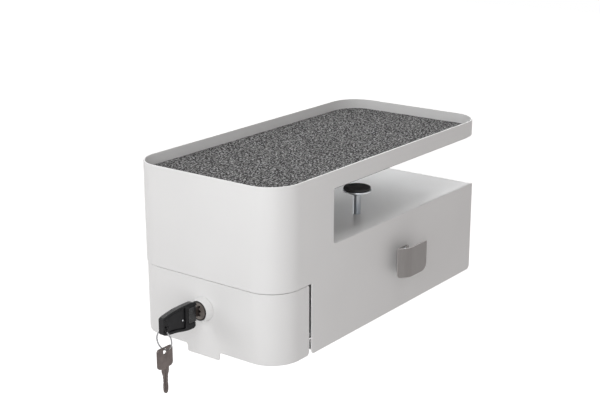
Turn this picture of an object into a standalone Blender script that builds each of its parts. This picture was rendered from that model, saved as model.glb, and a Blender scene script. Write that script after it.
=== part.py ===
"""Locking drawer and felt-lined tray that clamp on to the edge of a desk.

The tray lies on the desk top, a column runs down in front of the desk's edge, and a housing
with a locking drawer hangs below the desk, held by two screw clamps that press up against
the desk's underside.

Metres, +Z up. The origin is half way across the unit on the desk's top front edge: the desk
top is the plane z = 0 and the desk's edge is the plane y = 0. +X is the unit's right-hand
side, +Y runs in over the desk, and the drawer opens along -Y.
"""

import math

import bmesh
import bpy
from mathutils import Vector

# GAP parts pieces that touch on the real thing, and PAST is how far a cutter overshoots
MM = 0.001
GAP = 0.3 * MM
SHEET = 1.5 * MM
PAST = 1 * MM
ARC_STEPS = 15
ROUND_STEPS = 28

# Driving sizes of the outer shell
HALF_WIDTH = 91 * MM
FRONT = -87 * MM
TRAY_BACK = 285 * MM
HOUSING_BACK = 266 * MM
RIM_TOP = 19 * MM
BAND_BOTTOM = 1.5 * MM
HOUSING_TOP = -53.5 * MM
HOUSING_BOTTOM = -155 * MM
SEAM = -83.5 * MM
SEAM_GAP = 1.2 * MM
PANEL_FRONT = -35 * MM
FRONT_RADIUS = 32.5 * MM
BACK_RADIUS = 33 * MM
SLOT_FILLET = 3 * MM
TOE_RADIUS = 3.5 * MM
HEEL_RADIUS = 5 * MM

SHELL_FRONT_BOTTOM = SEAM + SEAM_GAP / 2
FRONT_TOP = SEAM - SEAM_GAP / 2
INNER_HALF = HALF_WIDTH - SHEET
PLATE_HALF = INNER_HALF - GAP
CORNER_X = HALF_WIDTH - FRONT_RADIUS
CORNER_Y = FRONT + FRONT_RADIUS
BACK_CORNER_X = HALF_WIDTH - BACK_RADIUS
BACK_CORNER_Y = TRAY_BACK - BACK_RADIUS

# Tray
FLOOR_BOTTOM = 1.7 * MM
FLOOR_TOP = 4.7 * MM
FELT_TOP = 8 * MM
FELT_CLEARANCE = 0.5 * MM
PAD_TOP = 1.4 * MM
PAD_INSET = 2.4 * MM
PAD_FRONT = -3 * MM

# Fixed plates
EDGE_PLATE = 1.8 * MM
EDGE_PLATE_TOP = -2.2 * MM
TOP_PLATE_BOTTOM = HOUSING_TOP - SHEET
BACK_PLATE_BOTTOM = -150 * MM
BASE_BOTTOM = -82.2 * MM
BASE_TOP = -80.7 * MM
FLANGE_FRONT = -27 * MM
FLANGE_BACK = 258 * MM
FLANGE_WIDTH = 20 * MM
STRIKE_HALF = 30 * MM
STRIKE_DEPTH = 20 * MM
STRIKE_HEIGHT = 3 * MM
BUMPER_X = 55 * MM
BUMPER_RADIUS = 7 * MM
BUMPER_TIP_RADIUS = 6 * MM
BUMPER_CLEARANCE = 0.6 * MM

# Drawer
FRONT_INSET = 0.8 * MM
WING_BACK = -38 * MM
WING_CORNER = 2 * MM
BOX_HALF = 76.5 * MM
BOX_FRONT = -56 * MM
BOX_BACK = 256 * MM
BOX_TOP = -88 * MM
BOX_BOTTOM = -148.5 * MM
BOX_SHEET = 1.2 * MM
LINER = 2.5 * MM
CAP_SIDE_BACK = -41 * MM
TAB_CENTRE = -2 * MM
TAB_HALF = 20.5 * MM
TAB_DROP = 8.1 * MM
TAB_RADIUS = 2 * MM
TAB_FILLET = 2.5 * MM
BRACKET_X = 45 * MM
BRACKET_FLANGE = 12 * MM
BRACKET_BOTTOM = -140 * MM
BRACKET_TOP = -95 * MM

# Slides, three nested members a side, centred on SLIDE_Z
SLIDE_Z = -120 * MM
SLIDE_FRONT = -34 * MM
SLIDE_LENGTH = 250 * MM
SLIDE_SHEET = 1.2 * MM
SLIDE_OUTER_HALF = 14.4 * MM
SLIDE_MID_HALF = 11.7 * MM
SLIDE_INNER_HALF = 9 * MM
SLIDE_OUTER_DEPTH = 8.2 * MM
SLIDE_MID_DEPTH = 6.4 * MM
SLIDE_INNER_DEPTH = 6.7 * MM
SLIDE_MID_STEP = 3.8 * MM

# Lock and key
LOCK_Z = -113.6 * MM
COLLAR_FACE = -94.2 * MM
COLLAR_BORE = 9.9 * MM
COLLAR_BASE_RADIUS = 12.4 * MM
COLLAR_FACE_RADIUS = 10.7 * MM
COLLAR_BEAD = 0.5 * MM
PLUG_FACE_RADIUS = 9.6 * MM
PLUG_FACE_BACK = -91.8 * MM
PLUG_EDGE = 0.4 * MM
PLUG_SHANK = 6.4 * MM
PLUG_BACK = -64.2 * MM
BARREL_BORE = 6.7 * MM
BARREL_RADIUS = 9 * MM
BARREL_FRONT = -91.5 * MM
FRONT_HOLE = 9.3 * MM
LOCK_NUT_RADIUS = 12.7 * MM
LOCK_NUT_THICK = 4 * MM
KEYWAY_HALF_HEIGHT = 4.9 * MM
KEYWAY_HALF_WIDTH = 1.4 * MM
KEYWAY_END = -67 * MM
CAM_FRONT = -63.9 * MM
CAM_THICK = 2 * MM
CAM_REACH = 30 * MM
CAM_HALF = 6 * MM
CAM_HUB = 7 * MM
CAM_WAIST = 9.6 * MM
CAM_HOLE = 2.4 * MM
CAM_SCREW_RADIUS = 2 * MM
CAM_SCREW_HEAD = 5 * MM
CAM_SCREW_RISE = 2.6 * MM
CAM_SLOT_HALF = 18 * MM
CAM_SLOT_FRONT = -65.4 * MM
CAM_SLOT_BACK = -60.4 * MM

BLADE_HALF = 4.5 * MM
BLADE_THICK = 2 * MM
BLADE_TIP = -69 * MM
BLADE_TIP_LENGTH = 3 * MM
BLADE_ROOT = -106 * MM
HEAD_FRONT = -99.5 * MM
HEAD_BACK = -109.5 * MM
HEAD_HALF = 8 * MM
HEAD_THICK = 4.4 * MM
FOLD_Y = -104.5 * MM
PIN_RADIUS = 1.3 * MM
PIN_TOP = 11.5 * MM
FORK_HALF = HEAD_HALF + GAP
FORK_BACK = -110.5 * MM
BOW_THICK = 5 * MM
POCKET_DEPTH = 1.2 * MM

# Points that the folding grip's two edges pass through, in mm: place along Y, and height from
# the middle of the key. The fork's arms end at the first and last points near the lock.
BOW_UPPER = (
    (-145.7, 7.4), (-144.4, 9.2), (-137, 11), (-128, 12.3), (-117, 12.8), (-106, 12.9),
    (-101.5, 11.5), (-98.9, 9.9),
)
BOW_LOWER = (
    (-100.8, -11.8), (-103, -13.6), (-110, -13.6), (-119, -12.2), (-127, -10.6), (-137, -9.4),
    (-143.6, -8), (-145.7, -6),
)
POCKET_RIM = 2.3 * MM
POCKET_FRONT = -113 * MM
POCKET_BACK = -143 * MM
RING_BOSS_FRONT = -137 * MM
RING_BOSS_TOP = -1 * MM
RING_BOSS_CORNER = 2 * MM

RING_Y = -141.8 * MM
RING_RADIUS = 9.2 * MM
RING_WIRE = 0.8 * MM
RING_TOP_Z = -118.2 * MM
RING_BOTTOM_Z = RING_TOP_Z - 2 * RING_RADIUS
BOW_HOLE_Z = RING_TOP_Z + 1.0 * MM
BOW_HOLE = 2.55 * MM
SPARE_HOLE = 2.8 * MM
SPARE_HOLE_Z = RING_BOTTOM_Z + RING_WIRE + GAP - SPARE_HOLE
SPARE_TOP = -134.2 * MM
SPARE_BOTTOM = -154.6 * MM
SPARE_HALF = 10 * MM
SPARE_TOP_CORNER = 2.8 * MM
SPARE_BOTTOM_CORNER = 3.6 * MM

# The spare key's blade, its +Y half from the bow to the tip: half width and height in mm
SPARE_BLADE = (
    (4.6, -154.6), (4.3, -155.4), (4.2, -158.4), (3.4, -161), (2.6, -163), (2.9, -164.6),
    (2.3, -166), (2.5, -168), (2.1, -169.2), (2.5, -170.4), (2.7, -173), (2.7, -176),
    (2.4, -178.4), (1.6, -180), (0.6, -180.6),
)

# Bag hook on the right-hand side panel
HOOK_SHEET = 1.6 * MM
HOOK_FACE = HALF_WIDTH + 18.8 * MM
HOOK_NOSE_X = HALF_WIDTH + 10 * MM
HOOK_NOSE_Y = 97.8 * MM
HOOK_BEND_Y = 106.8 * MM
HOOK_BEND_RADIUS = 8 * MM
HOOK_BACK = 140 * MM
HOOK_TOP = -83.4 * MM
HOOK_BOTTOM = -115 * MM
HOOK_CORNER = 8 * MM
HOOK_NOSE_CORNER = 3 * MM
HOOK_ARM_FRONT = 114 * MM
HOOK_ARM_BACK = 132 * MM
HOOK_ROOT_TOP = -86 * MM
HOOK_SCREW_Z = (-94 * MM, -105 * MM)
HOOK_SCREW_HEAD = ((3.8 * MM, 0), (3.4 * MM, 1.4 * MM), (1.5 * MM, 2.1 * MM))

# Screw clamps, set here for a desk top 25 mm thick
DESK_THICKNESS = 25 * MM
CLAMP_X = 52 * MM
CLAMP_Y = 95 * MM
CLAMP_RUBBER = 2.5 * MM
CLAMP_RUBBER_RADIUS = 14 * MM
CLAMP_CUP_RADIUS = 15 * MM
CLAMP_CUP = 4.2 * MM
CLAMP_SOCKET = 2.4 * MM
SPINDLE_RADIUS = 4 * MM
SPINDLE_HOLE = 4.4 * MM
KNOB_TOP = -71 * MM
KNOB_BOTTOM = -79 * MM
KNOB_RADIUS = 11 * MM
KNOB_FLUTES = 16
CLAMP_NUT = 5 * MM
CLAMP_NUT_RADIUS = 9 * MM
CLAMP_CUP_RIM = 1.5 * MM
CLAMP_CUP_FOOT = 8 * MM
KNOB_FLUTE_DEPTH = 1.2 * MM


def clear_scene():
    for item in list(bpy.data.objects):
        bpy.data.objects.remove(item, do_unlink=True)


def make_material(name, colour, roughness, metallic=0.0):
    material = bpy.data.materials.new(name)
    material.use_nodes = True
    shader = material.node_tree.nodes["Principled BSDF"]
    shader.inputs["Base Color"].default_value = (*colour, 1.0)
    shader.inputs["Roughness"].default_value = roughness
    shader.inputs["Metallic"].default_value = metallic
    material.diffuse_color = (*colour, 1.0)
    return material


def make_materials():
    return {
        "white": make_material("white_powder_coat", (0.84, 0.84, 0.83), 0.45),
        "felt": make_material("grey_felt", (0.15, 0.15, 0.15), 0.95),
        "rubber": make_material("black_rubber", (0.03, 0.03, 0.03), 0.8),
        "zinc": make_material("zinc_plate", (0.6, 0.61, 0.62), 0.35, 1.0),
        "hook": make_material("satin_metal", (0.3, 0.3, 0.31), 0.4, 1.0),
        "bronze": make_material("dark_bronze", (0.09, 0.075, 0.065), 0.35, 1.0),
        "black": make_material("black_plastic", (0.025, 0.025, 0.027), 0.5),
        "key": make_material("nickel_key", (0.33, 0.3, 0.28), 0.35, 1.0),
    }


def make_body(name, place, parent=None):
    """An empty on the joint's axis, which carries the pieces that move together."""
    body = bpy.data.objects.new(name, None)
    bpy.context.scene.collection.objects.link(body)
    body["place"] = place
    if parent is None:
        body.location = place
    else:
        body.parent = parent
        body.location = Vector(place) - Vector(parent["place"])
    return body


def add_piece(name, bm, body, material, sharp=30):
    """Link a mesh, given in world coordinates, as a piece that has its body's origin."""
    bmesh.ops.translate(bm, vec=-Vector(body["place"]), verts=bm.verts)
    mesh = bpy.data.meshes.new(name)
    bm.to_mesh(mesh)
    bm.free()
    mesh.materials.append(material)
    mesh.shade_smooth()
    mesh.set_sharp_from_angle(angle=math.radians(sharp))
    piece = bpy.data.objects.new(name, mesh)
    piece.parent = body
    bpy.context.scene.collection.objects.link(piece)
    return piece


def cut(piece, bm):
    """Take the closed shape out of the piece."""
    body = piece.parent
    bmesh.ops.translate(bm, vec=-Vector(body["place"]), verts=bm.verts)
    name = "cutter_%s_%d" % (piece.name, len(piece.modifiers))
    mesh = bpy.data.meshes.new(name)
    bm.to_mesh(mesh)
    bm.free()
    cutter = bpy.data.objects.new(name, mesh)
    cutter.parent = body
    cutter.display_type = "WIRE"
    cutter.hide_render = True
    bpy.context.scene.collection.objects.link(cutter)
    modifier = piece.modifiers.new("cut", "BOOLEAN")
    modifier.operation = "DIFFERENCE"
    modifier.solver = "EXACT"
    modifier.object = cutter


def arc(centre, radius, start, end, steps=ARC_STEPS):
    """Points along an arc, with angles in degrees and both ends kept."""
    angles = [math.radians(start + (end - start) * i / steps) for i in range(steps + 1)]
    return [(centre[0] + radius * math.cos(a), centre[1] + radius * math.sin(a)) for a in angles]


def circle(centre, radius, steps=ROUND_STEPS):
    return arc(centre, radius, 0, 360, steps)[:-1]


def lift(axis, u, v, along):
    """A point from its two coordinates in the plane across an axis and one along it."""
    if axis == "X":
        return Vector((along, u, v))
    if axis == "Y":
        return Vector((u, along, v))
    return Vector((u, v, along))


def prism(outline, axis, low, high):
    """A closed bar with the outline as its section, from low to high along the axis."""
    bm = bmesh.new()
    face = bm.faces.new([bm.verts.new(lift(axis, u, v, low)) for u, v in outline])
    grown = bmesh.ops.extrude_face_region(bm, geom=[face])
    moved = [item for item in grown["geom"] if isinstance(item, bmesh.types.BMVert)]
    bmesh.ops.translate(bm, vec=lift(axis, 0, 0, high - low), verts=moved)
    bmesh.ops.recalc_face_normals(bm, faces=bm.faces)
    return bm


def block(x, y, z):
    """A closed box from three pairs of limits."""
    return prism([(x[0], y[0]), (x[1], y[0]), (x[1], y[1]), (x[0], y[1])], "Z", z[0], z[1])


def turned(profile, axis, centre, steps=ROUND_STEPS):
    """A closed body of revolution. The profile is a loop of (radius, place along the axis)."""
    bm = bmesh.new()
    points = []
    for radius, along in profile:
        points.append(bm.verts.new(lift(axis, centre[0] + radius, centre[1], along)))
    for i, point in enumerate(points):
        bm.edges.new((point, points[(i + 1) % len(points)]))
    bmesh.ops.spin(bm, geom=list(bm.verts) + list(bm.edges), cent=lift(axis, *centre, 0),
                   axis=lift(axis, 0, 0, 1), angle=math.tau, steps=steps, use_merge=True)
    bmesh.ops.remove_doubles(bm, verts=bm.verts, dist=1e-6)
    bmesh.ops.dissolve_degenerate(bm, edges=bm.edges, dist=1e-7)
    bmesh.ops.recalc_face_normals(bm, faces=bm.faces)
    return bm


def rod(axis, centre, radius, low, high, steps=ROUND_STEPS):
    return prism(circle(centre, radius, steps), axis, low, high)


def sheet_piece(name, faces, outward, body, material, thickness):
    """Folded sheet: faces give its outer side, and its thickness grows away from that side.

    outward is the direction in which the first face looks.
    """
    bm = bmesh.new()
    for points in faces:
        bm.faces.new([bm.verts.new(point) for point in points])
    bmesh.ops.remove_doubles(bm, verts=bm.verts, dist=1e-6)
    bmesh.ops.recalc_face_normals(bm, faces=bm.faces)
    bm.faces.ensure_lookup_table()
    bm.normal_update()
    if bm.faces[0].normal.dot(Vector(outward)) < 0:
        bmesh.ops.reverse_faces(bm, faces=bm.faces)
    piece = add_piece(name, bm, body, material)
    solidify = piece.modifiers.new("thickness", "SOLIDIFY")
    solidify.thickness = thickness
    solidify.offset = -1
    solidify.use_even_offset = True
    return piece


def wall(points, low, high):
    """Upright faces between two heights along a line of plan points."""
    faces = []
    for (xa, ya), (xb, yb) in zip(points, points[1:]):
        faces.append([(xa, ya, low), (xb, yb, low), (xb, yb, high), (xa, ya, high)])
    return faces


def tray_outline(inset):
    """Plan outline of the tray band, moved inwards."""
    front = FRONT_RADIUS - inset
    back = BACK_RADIUS - inset
    points = arc((-CORNER_X, CORNER_Y), front, 180, 270)
    points += arc((CORNER_X, CORNER_Y), front, 270, 360)
    points += arc((BACK_CORNER_X, BACK_CORNER_Y), back, 0, 90)
    points += arc((-BACK_CORNER_X, BACK_CORNER_Y), back, 90, 180)
    return points


def column_outline(inset, back):
    """Plan outline of the rounded front, moved inwards and closed straight across."""
    side = HALF_WIDTH - inset
    points = [(-side, back)]
    points += arc((-CORNER_X, CORNER_Y), FRONT_RADIUS - inset, 180, 270)
    points += arc((CORNER_X, CORNER_Y), FRONT_RADIUS - inset, 270, 360)
    points.append((side, back))
    return points


def shell_side(x):
    """Flat side of the shell: tray band, column and housing panel around the desk slot."""
    points = [(CORNER_Y, RIM_TOP), (BACK_CORNER_Y, RIM_TOP), (BACK_CORNER_Y, BAND_BOTTOM)]
    points.append((0, BAND_BOTTOM))
    points += arc((SLOT_FILLET, HOUSING_TOP + SLOT_FILLET), SLOT_FILLET, 180, 270, 4)
    points.append((HOUSING_BACK, HOUSING_TOP))
    heel = (HOUSING_BACK - HEEL_RADIUS, HOUSING_BOTTOM + HEEL_RADIUS)
    points += arc(heel, HEEL_RADIUS, 0, -90, 5)
    toe = (PANEL_FRONT + TOE_RADIUS, HOUSING_BOTTOM + TOE_RADIUS)
    points += arc(toe, TOE_RADIUS, 270, 180, 3)
    points += [(PANEL_FRONT, SHELL_FRONT_BOTTOM), (CORNER_Y, SHELL_FRONT_BOTTOM)]
    return [(x, y, z) for y, z in points]


def make_shell(body, materials):
    front = arc((-CORNER_X, CORNER_Y), FRONT_RADIUS, 180, 270)
    front += arc((CORNER_X, CORNER_Y), FRONT_RADIUS, 270, 360)
    back = arc((BACK_CORNER_X, BACK_CORNER_Y), BACK_RADIUS, 0, 90)
    back += arc((-BACK_CORNER_X, BACK_CORNER_Y), BACK_RADIUS, 90, 180)
    faces = [shell_side(HALF_WIDTH), shell_side(-HALF_WIDTH)]
    faces += wall(front, SHELL_FRONT_BOTTOM, RIM_TOP)
    faces += wall(back, BAND_BOTTOM, RIM_TOP)
    sheet_piece("shell", faces, (1, 0, 0), body, materials["white"], SHEET)


def make_tray(body, materials):
    floor = prism(tray_outline(SHEET + GAP), "Z", FLOOR_BOTTOM, FLOOR_TOP)
    add_piece("tray_floor", floor, body, materials["white"])
    felt = prism(tray_outline(SHEET + FELT_CLEARANCE), "Z", FLOOR_TOP + GAP, FELT_TOP)
    add_piece("tray_felt", felt, body, materials["felt"])
    side = HALF_WIDTH - PAD_INSET
    outline = [(-side, PAD_FRONT), (side, PAD_FRONT)]
    outline += arc((BACK_CORNER_X, BACK_CORNER_Y), BACK_RADIUS - PAD_INSET, 0, 90)
    outline += arc((-BACK_CORNER_X, BACK_CORNER_Y), BACK_RADIUS - PAD_INSET, 90, 180)
    add_piece("desk_pad", prism(outline, "Z", 0, PAD_TOP), body, materials["rubber"])


def cam_slot(low, high):
    """Cutter for the slot that the lock's cam rises through."""
    slot_x = (-CAM_SLOT_HALF, CAM_SLOT_HALF)
    return block(slot_x, (CAM_SLOT_FRONT, CAM_SLOT_BACK), (low - PAST, high + PAST))


def make_fixed_plates(body, materials):
    white = materials["white"]
    across = (-PLATE_HALF, PLATE_HALF)
    back_face = HOUSING_BACK - SHEET
    edge = block(across, (-EDGE_PLATE, 0), (HOUSING_TOP + GAP, EDGE_PLATE_TOP))
    add_piece("edge_plate", edge, body, white)
    top = block(across, (-EDGE_PLATE, back_face - GAP), (TOP_PLATE_BOTTOM, HOUSING_TOP))
    plate = add_piece("top_plate", top, body, white)
    for sign in (-1, 1):
        centre = (sign * CLAMP_X, CLAMP_Y)
        cut(plate, rod("Z", centre, SPINDLE_HOLE, TOP_PLATE_BOTTOM - PAST, HOUSING_TOP + PAST))
    back = block(across, (back_face, HOUSING_BACK), (BACK_PLATE_BOTTOM, TOP_PLATE_BOTTOM - GAP))
    add_piece("back_plate", back, body, white)
    base = prism(column_outline(SHEET + GAP, -EDGE_PLATE - GAP), "Z", BASE_BOTTOM, BASE_TOP)
    cut(add_piece("column_base", base, body, white), cam_slot(BASE_BOTTOM, BASE_TOP))
    low = BASE_TOP + GAP
    middle = (CAM_SLOT_FRONT + CAM_SLOT_BACK) / 2
    depth = (middle - STRIKE_DEPTH / 2, middle + STRIKE_DEPTH / 2)
    strike = block((-STRIKE_HALF, STRIKE_HALF), depth, (low, low + STRIKE_HEIGHT))
    strike = add_piece("lock_strike", strike, body, materials["zinc"])
    cut(strike, cam_slot(low, low + STRIKE_HEIGHT))
    for side, sign in (("left", -1), ("right", 1)):
        limits = sorted((sign * PLATE_HALF, sign * (PLATE_HALF - FLANGE_WIDTH)))
        height = (HOUSING_BOTTOM, HOUSING_BOTTOM + SHEET)
        flange = block(limits, (FLANGE_FRONT, FLANGE_BACK), height)
        add_piece("bottom_flange_%s" % side, flange, body, white)


def channel(web_x, reach_x, half_height, sign):
    """C section in the plane across the slide: a web and two flanges towards reach_x."""
    inward = -1 if reach_x < web_x else 1
    inner = web_x + inward * SLIDE_SHEET
    lip = half_height - SLIDE_SHEET
    section = [(web_x, -half_height), (reach_x, -half_height), (reach_x, -lip), (inner, -lip)]
    section += [(inner, lip), (reach_x, lip), (reach_x, half_height), (web_x, half_height)]
    return [(sign * x, SLIDE_Z + z) for x, z in section]


def make_slides(bodies, materials):
    """Full-extension slides: the members are nested and each stands clear of the next."""
    outer = PLATE_HALF
    middle = outer - SLIDE_MID_STEP
    inner = BOX_HALF + GAP
    members = (
        ("slide_outer", "housing", outer, outer - SLIDE_OUTER_DEPTH, SLIDE_OUTER_HALF),
        ("slide_mid", "slides", middle, middle - SLIDE_MID_DEPTH, SLIDE_MID_HALF),
        ("slide_inner", "drawer", inner, inner + SLIDE_INNER_DEPTH, SLIDE_INNER_HALF),
    )
    for name, body, web, reach, half in members:
        for side, sign in (("left", -1), ("right", 1)):
            section = channel(web, reach, half, sign)
            bar = prism(section, "Y", SLIDE_FRONT, SLIDE_FRONT + SLIDE_LENGTH)
            add_piece("%s_%s" % (name, side), bar, bodies[body], materials["zinc"])


def make_bumpers(body, materials):
    back = HOUSING_BACK - SHEET - GAP
    tip = BOX_BACK + BUMPER_CLEARANCE
    profile = [(0, back), (BUMPER_RADIUS, back), (BUMPER_TIP_RADIUS, tip), (0, tip)]
    for side, sign in (("left", -1), ("right", 1)):
        buffer = turned(profile, "Y", (sign * BUMPER_X, SLIDE_Z), 16)
        add_piece("bumper_%s" % side, buffer, body, materials["rubber"])


def hook_bend():
    """Plan line of the hook's slanted nose and its rounded bend into the tongue."""
    nose = Vector((HOOK_NOSE_X, HOOK_NOSE_Y))
    corner = Vector((HOOK_FACE, HOOK_BEND_Y))
    along = (corner - nose).normalized()
    turn = math.atan2(along.x, along.y)
    cut_back = HOOK_BEND_RADIUS * math.tan(turn / 2)
    centre = (HOOK_FACE - HOOK_BEND_RADIUS, HOOK_BEND_Y + cut_back)
    start = corner - along * cut_back
    bend = arc(centre, HOOK_BEND_RADIUS, -math.degrees(turn), 0, 4)
    return tuple(nose), tuple(start), bend[1:]


def make_hook(body, materials):
    nose, start, bend = hook_bend()
    slope = Vector(start) - Vector(nose)
    share = HOOK_NOSE_CORNER / slope.length
    slant = [(0, HOOK_TOP), (1, HOOK_TOP), (1, HOOK_BOTTOM)]
    centre = (share, HOOK_BOTTOM + HOOK_NOSE_CORNER)
    slant += [(centre[0] - share * math.sin(math.radians(a)),
               centre[1] - HOOK_NOSE_CORNER * math.cos(math.radians(a))) for a in (0, 30, 60, 90)]
    corner = (HOOK_BACK - HOOK_CORNER, HOOK_BOTTOM + HOOK_CORNER)
    tongue = [(bend[-1][1], HOOK_TOP), (HOOK_BACK, HOOK_TOP)]
    tongue += arc(corner, HOOK_CORNER, 0, -90, 5)
    tongue += [(HOOK_ARM_FRONT, HOOK_BOTTOM), (bend[-1][1], HOOK_BOTTOM)]
    faces = [[(HOOK_FACE, y, z) for y, z in tongue]]
    faces.append([(nose[0] + slope.x * t, nose[1] + slope.y * t, z) for t, z in slant])
    faces += wall([start] + bend, HOOK_BOTTOM, HOOK_TOP)
    root = HALF_WIDTH + GAP
    arm = (HOOK_ARM_FRONT, HOOK_ARM_BACK)
    faces.append([(HOOK_FACE, arm[0], HOOK_BOTTOM), (HOOK_FACE, arm[1], HOOK_BOTTOM),
                  (root, arm[1], HOOK_BOTTOM), (root, arm[0], HOOK_BOTTOM)])
    faces.append([(root, arm[0], HOOK_BOTTOM), (root, arm[1], HOOK_BOTTOM),
                  (root, arm[1], HOOK_ROOT_TOP), (root, arm[0], HOOK_ROOT_TOP)])
    sheet_piece("bag_hook", faces, (1, 0, 0), body, materials["hook"], HOOK_SHEET)
    seat = root + HOOK_SHEET + GAP
    middle = (HOOK_ARM_FRONT + HOOK_ARM_BACK) / 2
    profile = [(0, seat)] + [(radius, seat + rise) for radius, rise in HOOK_SCREW_HEAD]
    profile.append((0, profile[-1][1]))
    for number, z in enumerate(HOOK_SCREW_Z, 1):
        head = turned(profile, "X", (middle, z), 16)
        add_piece("hook_screw_%d" % number, head, body, materials["zinc"])


def front_faces():
    """Outer side of the wrap-around drawer front, with the pull tab on its lower edge."""
    radius = FRONT_RADIUS - FRONT_INSET
    side = HALF_WIDTH - FRONT_INSET
    face = FRONT + FRONT_INSET
    bottom = HOUSING_BOTTOM
    tab_bottom = bottom - TAB_DROP
    tab = arc((TAB_HALF + TAB_FILLET, bottom - TAB_FILLET), TAB_FILLET, 90, 180, 4)
    tab += arc((TAB_HALF - TAB_RADIUS, tab_bottom + TAB_RADIUS), TAB_RADIUS, 0, -90, 4)
    outline = [(-CORNER_X, FRONT_TOP), (CORNER_X, FRONT_TOP), (CORNER_X, bottom)]
    outline += [(TAB_CENTRE + x, z) for x, z in tab]
    outline += [(TAB_CENTRE - x, z) for x, z in reversed(tab)]
    outline.append((-CORNER_X, bottom))
    faces = [[(x, face, z) for x, z in outline]]
    for sign in (-1, 1):
        points = [(sign * x, y) for x, y in arc((CORNER_X, CORNER_Y), radius, 270, 360)]
        faces += wall(points, bottom, FRONT_TOP)
        toe = (WING_BACK - TOE_RADIUS, bottom + TOE_RADIUS)
        top_corner = (WING_BACK - WING_CORNER, FRONT_TOP - WING_CORNER)
        wing = [(CORNER_Y, FRONT_TOP)] + arc(top_corner, WING_CORNER, 90, 0, 3)
        wing += arc(toe, TOE_RADIUS, 0, -90, 3)
        wing.append((CORNER_Y, bottom))
        faces.append([(sign * side, y, z) for y, z in wing])
    return faces


def make_drawer_front(body, materials):
    white = materials["white"]
    front = sheet_piece("drawer_front", front_faces(), (0, -1, 0), body, white, SHEET)
    face = FRONT + FRONT_INSET
    cut(front, rod("Y", (0, LOCK_Z), FRONT_HOLE, face - PAST, face + SHEET + PAST))
    notch = BOX_HALF + 3 * GAP
    outline = column_outline(FRONT_INSET + SHEET + GAP, CAP_SIDE_BACK)
    outline += [(notch, CAP_SIDE_BACK), (notch, BOX_FRONT - GAP)]
    outline += [(-notch, BOX_FRONT - GAP), (-notch, CAP_SIDE_BACK)]
    cap_top = FRONT_TOP - GAP
    cap = add_piece("front_cap", prism(outline, "Z", cap_top - SHEET, cap_top), body, white)
    cut(cap, cam_slot(cap_top - SHEET, cap_top))
    base = prism(outline, "Z", BOX_BOTTOM - SHEET, BOX_BOTTOM)
    add_piece("front_base", base, body, white)
    skin = face + SHEET + GAP
    box = BOX_FRONT - GAP
    for side, sign in (("left", -1), ("right", 1)):
        web = BRACKET_X
        tip = web + BRACKET_FLANGE
        section = [(web, skin), (tip, skin), (tip, skin + SHEET), (web + SHEET, skin + SHEET)]
        section += [(web + SHEET, box - SHEET), (tip, box - SHEET), (tip, box), (web, box)]
        bar = prism([(sign * x, y) for x, y in section], "Z", BRACKET_BOTTOM, BRACKET_TOP)
        add_piece("front_bracket_%s" % side, bar, body, materials["zinc"])


def make_drawer_box(body, materials):
    x, y = BOX_HALF, (BOX_FRONT, BOX_BACK)
    corners = [(-x, y[0]), (x, y[0]), (x, y[1]), (-x, y[1])]
    faces = [[(px, py, BOX_BOTTOM) for px, py in corners]]
    faces += wall(corners + corners[:1], BOX_BOTTOM, BOX_TOP)
    sheet_piece("drawer_box", faces, (0, 0, -1), body, materials["white"], BOX_SHEET)
    inset = BOX_SHEET + FELT_CLEARANCE
    low = BOX_BOTTOM + BOX_SHEET + GAP
    liner = block((inset - x, x - inset), (y[0] + inset, y[1] - inset), (low, low + LINER))
    add_piece("drawer_felt", liner, body, materials["felt"])


def make_lock(bodies, materials):
    centre = (0, LOCK_Z)
    face = FRONT + FRONT_INSET
    seat = face - GAP
    profile = [(COLLAR_BORE, seat), (COLLAR_BASE_RADIUS, seat),
               (COLLAR_BASE_RADIUS, seat - COLLAR_BEAD),
               (COLLAR_FACE_RADIUS + COLLAR_BEAD, COLLAR_FACE + COLLAR_BEAD),
               (COLLAR_FACE_RADIUS, COLLAR_FACE), (COLLAR_BORE, COLLAR_FACE)]
    collar = turned(profile, "Y", centre)
    add_piece("lock_collar", collar, bodies["drawer"], materials["white"], 40)
    profile = [(BARREL_BORE, BARREL_FRONT), (BARREL_RADIUS, BARREL_FRONT),
               (BARREL_RADIUS, PLUG_BACK), (BARREL_BORE, PLUG_BACK)]
    add_piece("lock_barrel", turned(profile, "Y", centre), bodies["drawer"], materials["zinc"])
    skin = face + SHEET + GAP
    nut_back = skin + LOCK_NUT_THICK
    nut = prism(circle(centre, LOCK_NUT_RADIUS, 6), "Y", skin, nut_back)
    nut = add_piece("lock_nut", nut, bodies["drawer"], materials["zinc"])
    cut(nut, rod("Y", centre, FRONT_HOLE, skin - PAST, nut_back + PAST))
    make_plug(bodies["lock"], materials)
    make_cam(bodies["lock"], materials)


def make_plug(body, materials):
    """The part of the lock that turns with the key, with its keyway."""
    profile = [(0, COLLAR_FACE), (PLUG_FACE_RADIUS - PLUG_EDGE, COLLAR_FACE),
               (PLUG_FACE_RADIUS, COLLAR_FACE + PLUG_EDGE), (PLUG_FACE_RADIUS, PLUG_FACE_BACK),
               (PLUG_SHANK, PLUG_FACE_BACK), (PLUG_SHANK, PLUG_BACK), (0, PLUG_BACK)]
    plug = add_piece("lock_plug", turned(profile, "Y", (0, LOCK_Z)), body, materials["bronze"])
    keyway_x = (-KEYWAY_HALF_WIDTH, KEYWAY_HALF_WIDTH)
    keyway_z = (LOCK_Z - KEYWAY_HALF_HEIGHT, LOCK_Z + KEYWAY_HALF_HEIGHT)
    cut(plug, block(keyway_x, (COLLAR_FACE - PAST, KEYWAY_END), keyway_z))


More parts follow.
